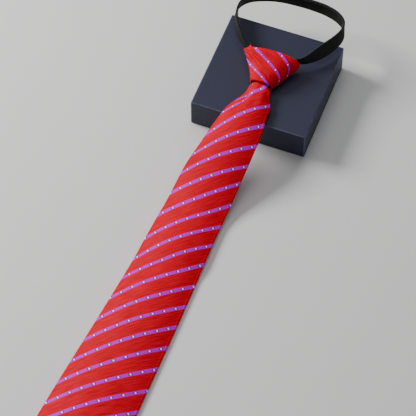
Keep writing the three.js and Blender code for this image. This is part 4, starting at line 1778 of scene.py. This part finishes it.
@dataclass
class NeckBand:
    """Neck band: one loop of zip tape on edge, from the slider round the neck and back."""

    sizes: TieSizes
    steps: int = 420

    # Course inside the knot, in shares of its size; lift and width in widths of the tape
    PASSAGE_LEFT = Table(
        ("x", "y", "lift", "width", "lean"),
        (
            (-0.135, -0.220, -0.24, 0.38, 0),
            (-0.280, -0.115, -0.16, 0.38, 0),
            (-0.420, -0.015, -0.10, 0.40, 2),
        ),
    )
    PASSAGE_RIGHT = Table(
        ("x", "y", "lift", "width", "lean"),
        (
            (0.405, 0.090, -0.04, 0.42, 4),
            (0.310, -0.050, -0.12, 0.38, 0),
            (0.200, -0.170, -0.22, 0.38, 0),
        ),
    )
    # Course round the neck in shares of the loop's size, and how far the tape leans in degrees
    LOOP = Table(
        ("x", "y", "lift", "width", "lean"),
        (
            (-0.295, 0.062, -0.03, 0.62, 5),
            (-0.360, 0.150, 0.00, 0.90, 6),
            (-0.420, 0.250, 0.00, 1.00, 7),
            (-0.475, 0.380, 0.00, 1.00, 7),
            (-0.508, 0.510, 0.00, 1.00, 8),
            (-0.505, 0.640, 0.00, 1.00, 8),
            (-0.450, 0.765, 0.00, 1.00, 6),
            (-0.340, 0.865, 0.00, 1.00, 3),
            (-0.200, 0.940, 0.00, 1.00, 0),
            (-0.040, 0.980, 0.00, 1.00, -4),
            (0.120, 0.998, 0.00, 1.00, -8),
            (0.270, 0.990, 0.00, 1.00, -10),
            (0.402, 0.938, 0.00, 1.00, -9),
            (0.486, 0.842, 0.00, 1.00, -2),
            (0.510, 0.705, 0.00, 1.00, 11),
            (0.484, 0.550, 0.00, 1.00, 24),
            (0.435, 0.400, 0.00, 1.00, 30),
            (0.378, 0.255, 0.00, 0.92, 26),
            (0.305, 0.118, -0.01, 0.66, 14),
        ),
    )

    def __post_init__(self) -> None:
        """Works out the course of the band and the directions across and through its tape."""
        sizes = self.sizes
        place = slider_place(sizes)
        out = place["top"] + 1.5 * sizes.fit
        points, widths, leans = [], [], []

        def end(side: float, y: float) -> None:
            """Adds an end of the band at the slider."""
            points.append([place["x"] + side * sizes.slider_width / 4, y, place["middle"]])
            widths.append(0.0)
            leans.append(0.0)

        def stretch(table: Table, width: float, depth: float) -> None:
            """Adds the rows of a table, scaled to a width and a depth."""
            for x, y, lift, share, lean in table.rows:
                height = sizes.loop_height + lift * sizes.tape_width
                points.append([sizes.knot_x + x * width, sizes.rim + y * depth, height])
                widths.append(share)
                leans.append(lean)

        end(-1.0, out)
        end(-1.1, out + sizes.tape)
        stretch(self.PASSAGE_LEFT, sizes.knot_width, sizes.knot_length)
        stretch(self.LOOP, sizes.loop_width, sizes.loop_depth)
        stretch(self.PASSAGE_RIGHT, sizes.knot_width, sizes.knot_length)
        end(1.1, out + sizes.tape)
        end(1.0, out)
        columns = {"width": np.array(widths), "lean": np.array(leans)}
        self.course = Course(np.array(points), columns, self.steps)
        lean = np.radians(self.course.column("lean"))[:, None]
        ahead = self.course.ahead
        inward = unit(np.stack([ahead[:, 1], -ahead[:, 0], np.zeros(len(ahead))], axis=1))
        upright = np.array([0.0, 0.0, 1.0])
        self.up = upright * np.cos(lean) + inward * np.sin(lean)
        self.inward = inward * np.cos(lean) - upright * np.sin(lean)
        self.width = np.maximum(self.course.column("width") * sizes.tape_width, sizes.band_pinch)

    def build(self, tape: bpy.types.Material) -> bpy.types.Object:
        sizes = self.sizes
        half = np.full(len(self.width), sizes.tape / 2)
        outline = tape_outline(self.width / 2, half)
        made = sweep_tape(
            "neck_band_tape", self.course.middle, self.up, self.inward, outline, tape,
        )
        finish_piece(made, Slot.TAPE, "neck_band")
        return made

    def nape_patch(self, tape: bpy.types.Material) -> bpy.types.Object:
        """Second layer of tape where the two ends overlap at the nape."""
        sizes = self.sizes
        near = np.abs(self.course.share - 0.5) * self.course.length < sizes.nape_overlap / 2
        offset = self.inward[near] * (sizes.tape + 0.12)
        count = int(near.sum())
        outline = tape_outline(self.width[near] / 2 - 0.15, np.full(count, sizes.tape * 0.48))
        made = sweep_tape(
            "nape_overlap_tape", self.course.middle[near] - offset, self.up[near], self.inward[near],
            outline, tape,
        )
        finish_piece(made, Slot.TAPE)
        return made

    def details(
        self,
        teeth: RepeatedRow,
        stitches: RepeatedRow,
        coil: bpy.types.Material,
        thread: bpy.types.Material,
    ) -> None:
        """Adds the coil of teeth and the stitching beside it.

        Args:
            teeth: the tree that repeats the teeth.
            stitches: the tree that repeats the stitches.
            coil: finish of the teeth.
            thread: finish of the stitches.
        """
        sizes = self.sizes
        free = self.width > sizes.band_pinch * 1.4
        middle, up, inward = self.course.middle[free], self.up[free], self.inward[free]
        top = (self.width[free] / 2)[:, None]
        reach = sizes.coil_width / 2
        lift = sizes.coil / 2 - sizes.tape / 4
        line = middle + up * (top - reach) + inward * lift
        teeth.along(
            "neck_band_teeth", Guide(line, up), coil, Slot.TAPE,
            spacing=1.25, length=sizes.coil_width - 0.7, height=1.15, thread=0.62,
        )
        for label, drop in (("upper", 0.55), ("lower", sizes.tape_width * 0.62)):
            line = middle + up * (top - sizes.coil_width - drop) + inward * (sizes.tape / 2 + 0.02)
            stitches.along(
                f"neck_band_stitches_{label}", Guide(line, up), thread, Slot.TAPE,
                spacing=1.9, length=1.35, height=0.26, thread=0.22, unevenness=0.08,
            )


@dataclass
class ZipTail:
    """Tail of the zip: both tapes closed into one flat strip under the blade."""

    sizes: TieSizes
    steps: int = 220

    # Steps left free of teeth and stitches at each end, and by which the left teeth start later
    END_GAP = 4
    OTHER_SIDE_LAG = 2
    # Where the tapes are gathered towards the knot's mouth, from the mouth
    GATHER = (-26.0, -6.0)

    def __post_init__(self) -> None:
        """Works out the middle line and the width of the closed tapes."""
        sizes = self.sizes
        place = slider_place(sizes)
        y = np.linspace(sizes.mouth - sizes.tail_length, place["bottom"] - sizes.fit, self.steps + 1)
        narrow = (throat_side(Side.RIGHT) - throat_side(Side.LEFT)) * 0.8
        gather = ease(y, sizes.mouth + self.GATHER[0], sizes.mouth + self.GATHER[1])
        self.width = mix(2 * sizes.tape_width - sizes.coil_width, narrow, gather)
        self.line = np.stack([np.full_like(y, place["x"]), y, sizes.tail_base(y)], axis=1)
        self.right = np.tile([1.0, 0.0, 0.0], (len(y), 1))
        self.up = unit(np.cross(self.right, np.gradient(self.line, axis=0)))

    def build(self, tape: bpy.types.Material) -> bpy.types.Object:
        sizes = self.sizes
        half = np.full(len(self.width), sizes.tape / 2)
        middle = self.line + self.up * (sizes.tape / 2)
        made = sweep_tape(
            "zip_tail_tapes", middle, self.right, self.up, tape_outline(self.width / 2, half), tape,
        )
        finish_piece(made, Slot.TAPE, "zip_tail")
        return made

    def details(
        self,
        teeth: RepeatedRow,
        stitches: RepeatedRow,
        coil: bpy.types.Material,
        thread: bpy.types.Material,
    ) -> None:
        """Adds the closed coil down the middle and a row of stitches on each side of it.

        Args:
            teeth: the tree that repeats the teeth.
            stitches: the tree that repeats the stitches.
            coil: finish of the teeth.
            thread: finish of the stitches.
        """
        sizes = self.sizes
        for side in Side:
            offset = self.right * side.value * sizes.coil_width * 0.36
            line = self.line + offset + self.up * (sizes.tape + 0.42)
            start = self.END_GAP + (self.OTHER_SIDE_LAG if side is Side.LEFT else 0)
            guide = Guide(line[start:-self.END_GAP], self.right[start:-self.END_GAP])
            teeth.along(
                f"zip_tail_teeth_{side.name.lower()}", guide, coil, Slot.TAPE,
                spacing=1.25, length=sizes.coil_width - 0.9, height=0.5, thread=0.55,
            )
            offset = self.right * side.value * (sizes.coil_width + 0.6)
            line = self.line + offset + self.up * (sizes.tape + 0.02)
            free = slice(self.END_GAP, -self.END_GAP)
            stitches.along(
                f"zip_tail_stitches_{side.name.lower()}", Guide(line[free], self.right[free]),
                thread, Slot.TAPE,
                spacing=1.9, length=1.35, height=0.22, thread=0.26, unevenness=0.08,
            )


@dataclass
class HardParts:
    """The slider and the gift box, whose own solids show with better finishes."""

    sizes: TieSizes

    def dress(self, effects: Effects) -> None:
        """Puts the finishes in the slots of the two nodes."""
        low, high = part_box("zip_slider")
        slider = SliderFinish().material(effects, (low + high) / 2, (high - low) / 2)
        card = CardFinish().material(effects, self.sizes)
        for node, finish, slot in (
            ("zip_slider", slider, Slot.METAL),
            ("display_box", card, Slot.CARD),
        ):
            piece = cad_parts[node]
            piece.data.materials.clear()
            piece.data.materials.append(finish)
            log.info("%s dressed as %s", node, finish.name)


@dataclass
class Studio:
    """Pale floor, soft lights and the camera."""

    lens: float = 181.64
    azimuth: float = 23.70
    elevation: float = 57.18
    distance: float = 1.8491
    target: tuple[float, float] = (-0.000064, 0.051741)
    floor_size: float = 6.0
    floor_colour: Colour = (0.72, 0.71, 0.70)

    def camera(self) -> None:
        """Puts the camera at the photograph's viewing angle."""
        data = bpy.data.cameras.new("camera")
        data.lens = self.lens
        data.sensor_width = 36.0
        data.clip_end = 20.0
        turn, rise = math.radians(self.azimuth), math.radians(self.elevation)
        back = Vector((
            math.sin(turn) * math.cos(rise), -math.cos(turn) * math.cos(rise), math.sin(rise),
        ))
        seat = add_object("camera", data)
        seat.location = Vector((*self.target, 0.0)) + back * self.distance
        seat.rotation_euler = (math.pi / 2 - rise, 0.0, turn)
        bpy.context.scene.camera = seat

    def floor(self) -> None:
        """Lays a plain pale floor."""
        half = self.floor_size / 2
        mesh = bpy.data.meshes.new("floor")
        mesh.from_pydata(
            [(-half, -half, 0), (half, -half, 0), (half, half, 0), (-half, half, 0)],
            [],
            [(0, 1, 2, 3)],
        )
        material, graph = new_material("pale_floor", self.floor_colour)
        place = graph.add("ShaderNodeTexCoord").outputs["Object"]
        cloud = graph.noise(place, 3.0, 2.0)
        paler = tuple(min(1.0, 1.05 * channel) for channel in self.floor_colour)
        graph.surface(graph.blend(cloud, self.floor_colour, paler), 0.75)
        mesh.materials.append(material)
        floor = add_object("floor", mesh)

    def light(
        self,
        name: str,
        seat: tuple[float, float, float],
        aim: tuple[float, float, float],
        size: float,
        power: float,
        warmth: float,
    ) -> None:
        """Adds one soft light.

        Args:
            name: name of the light.
            seat: where it stands.
            aim: what it points at.
            size: side of its square.
            power: its power in watts.
            warmth: how far its colour leans from blue (-1) to orange (1).
        """
        data = bpy.data.lights.new(name, "AREA")
        data.shape = "SQUARE"
        data.size = size
        data.energy = power
        data.color = (1.0, 1.0 - 0.05 * abs(warmth), 1.0 - 0.10 * max(warmth, 0.0))
        lamp = add_object(name, data)
        lamp.location = seat
        lamp.rotation_euler = (Vector(aim) - Vector(seat)).to_track_quat("-Z", "Y").to_euler()

    def build(self) -> None:
        """Sets the whole studio up."""
        self.camera()
        self.floor()
        self.light("key", (-1.30, 0.15, 0.95), (0.0, 0.0, 0.02), 0.6, 34.0, 0.2)
        self.light("fill", (0.9, -0.9, 1.4), (0.0, 0.0, 0.0), 1.6, 4.0, 0.0)
        self.light("top", (-0.3, 0.7, 1.7), (0.0, 0.1, 0.0), 1.0, 7.0, 0.0)
        world = bpy.data.worlds.new("studio")
        world.use_nodes = True
        world.node_tree.nodes["Background"].inputs["Color"].default_value = (0.82, 0.86, 0.92, 1.0)
        world.node_tree.nodes["Background"].inputs["Strength"].default_value = 0.20
        bpy.context.scene.world = world


def main() -> None:
    """Builds the whole tie, dresses it and lights it."""
    logging.basicConfig(level=logging.INFO, format="%(name)s: %(message)s")
    Studio().build()
    effects = Effects()
    silk = SilkFinish().material(effects)
    tape = TapeFinish().material(effects)
    coil = CoilFinish().material(effects)
    thread, red_thread = (
        CoilFinish(name, colour, light, 0.6).material(effects)
        for name, colour, light in (
            ("black_thread", (0.012, 0.012, 0.012), (0.03, 0.03, 0.029)),
            ("red_thread", (0.5, 0.01, 0.02), (0.7, 0.03, 0.05)),
        )
    )
    teeth = RepeatedRow(Repeat.TOOTH)
    stitches = RepeatedRow(Repeat.STITCH)
    tail = ZipTail(SIZES)
    tail.build(tape)
    tail.details(teeth, stitches, coil, thread)
    blade = Blade(SIZES)
    blade.build(silk)
    blade.stitch(stitches, red_thread)
    Knot(SIZES).build(silk)
    KnotEar(SIZES).build(silk)
    band = NeckBand(SIZES)
    band.build(tape)
    band.nape_patch(tape)
    band.details(teeth, stitches, coil, thread)
    HardParts(SIZES).dress(effects)


if __name__ == "__main__":
    main()
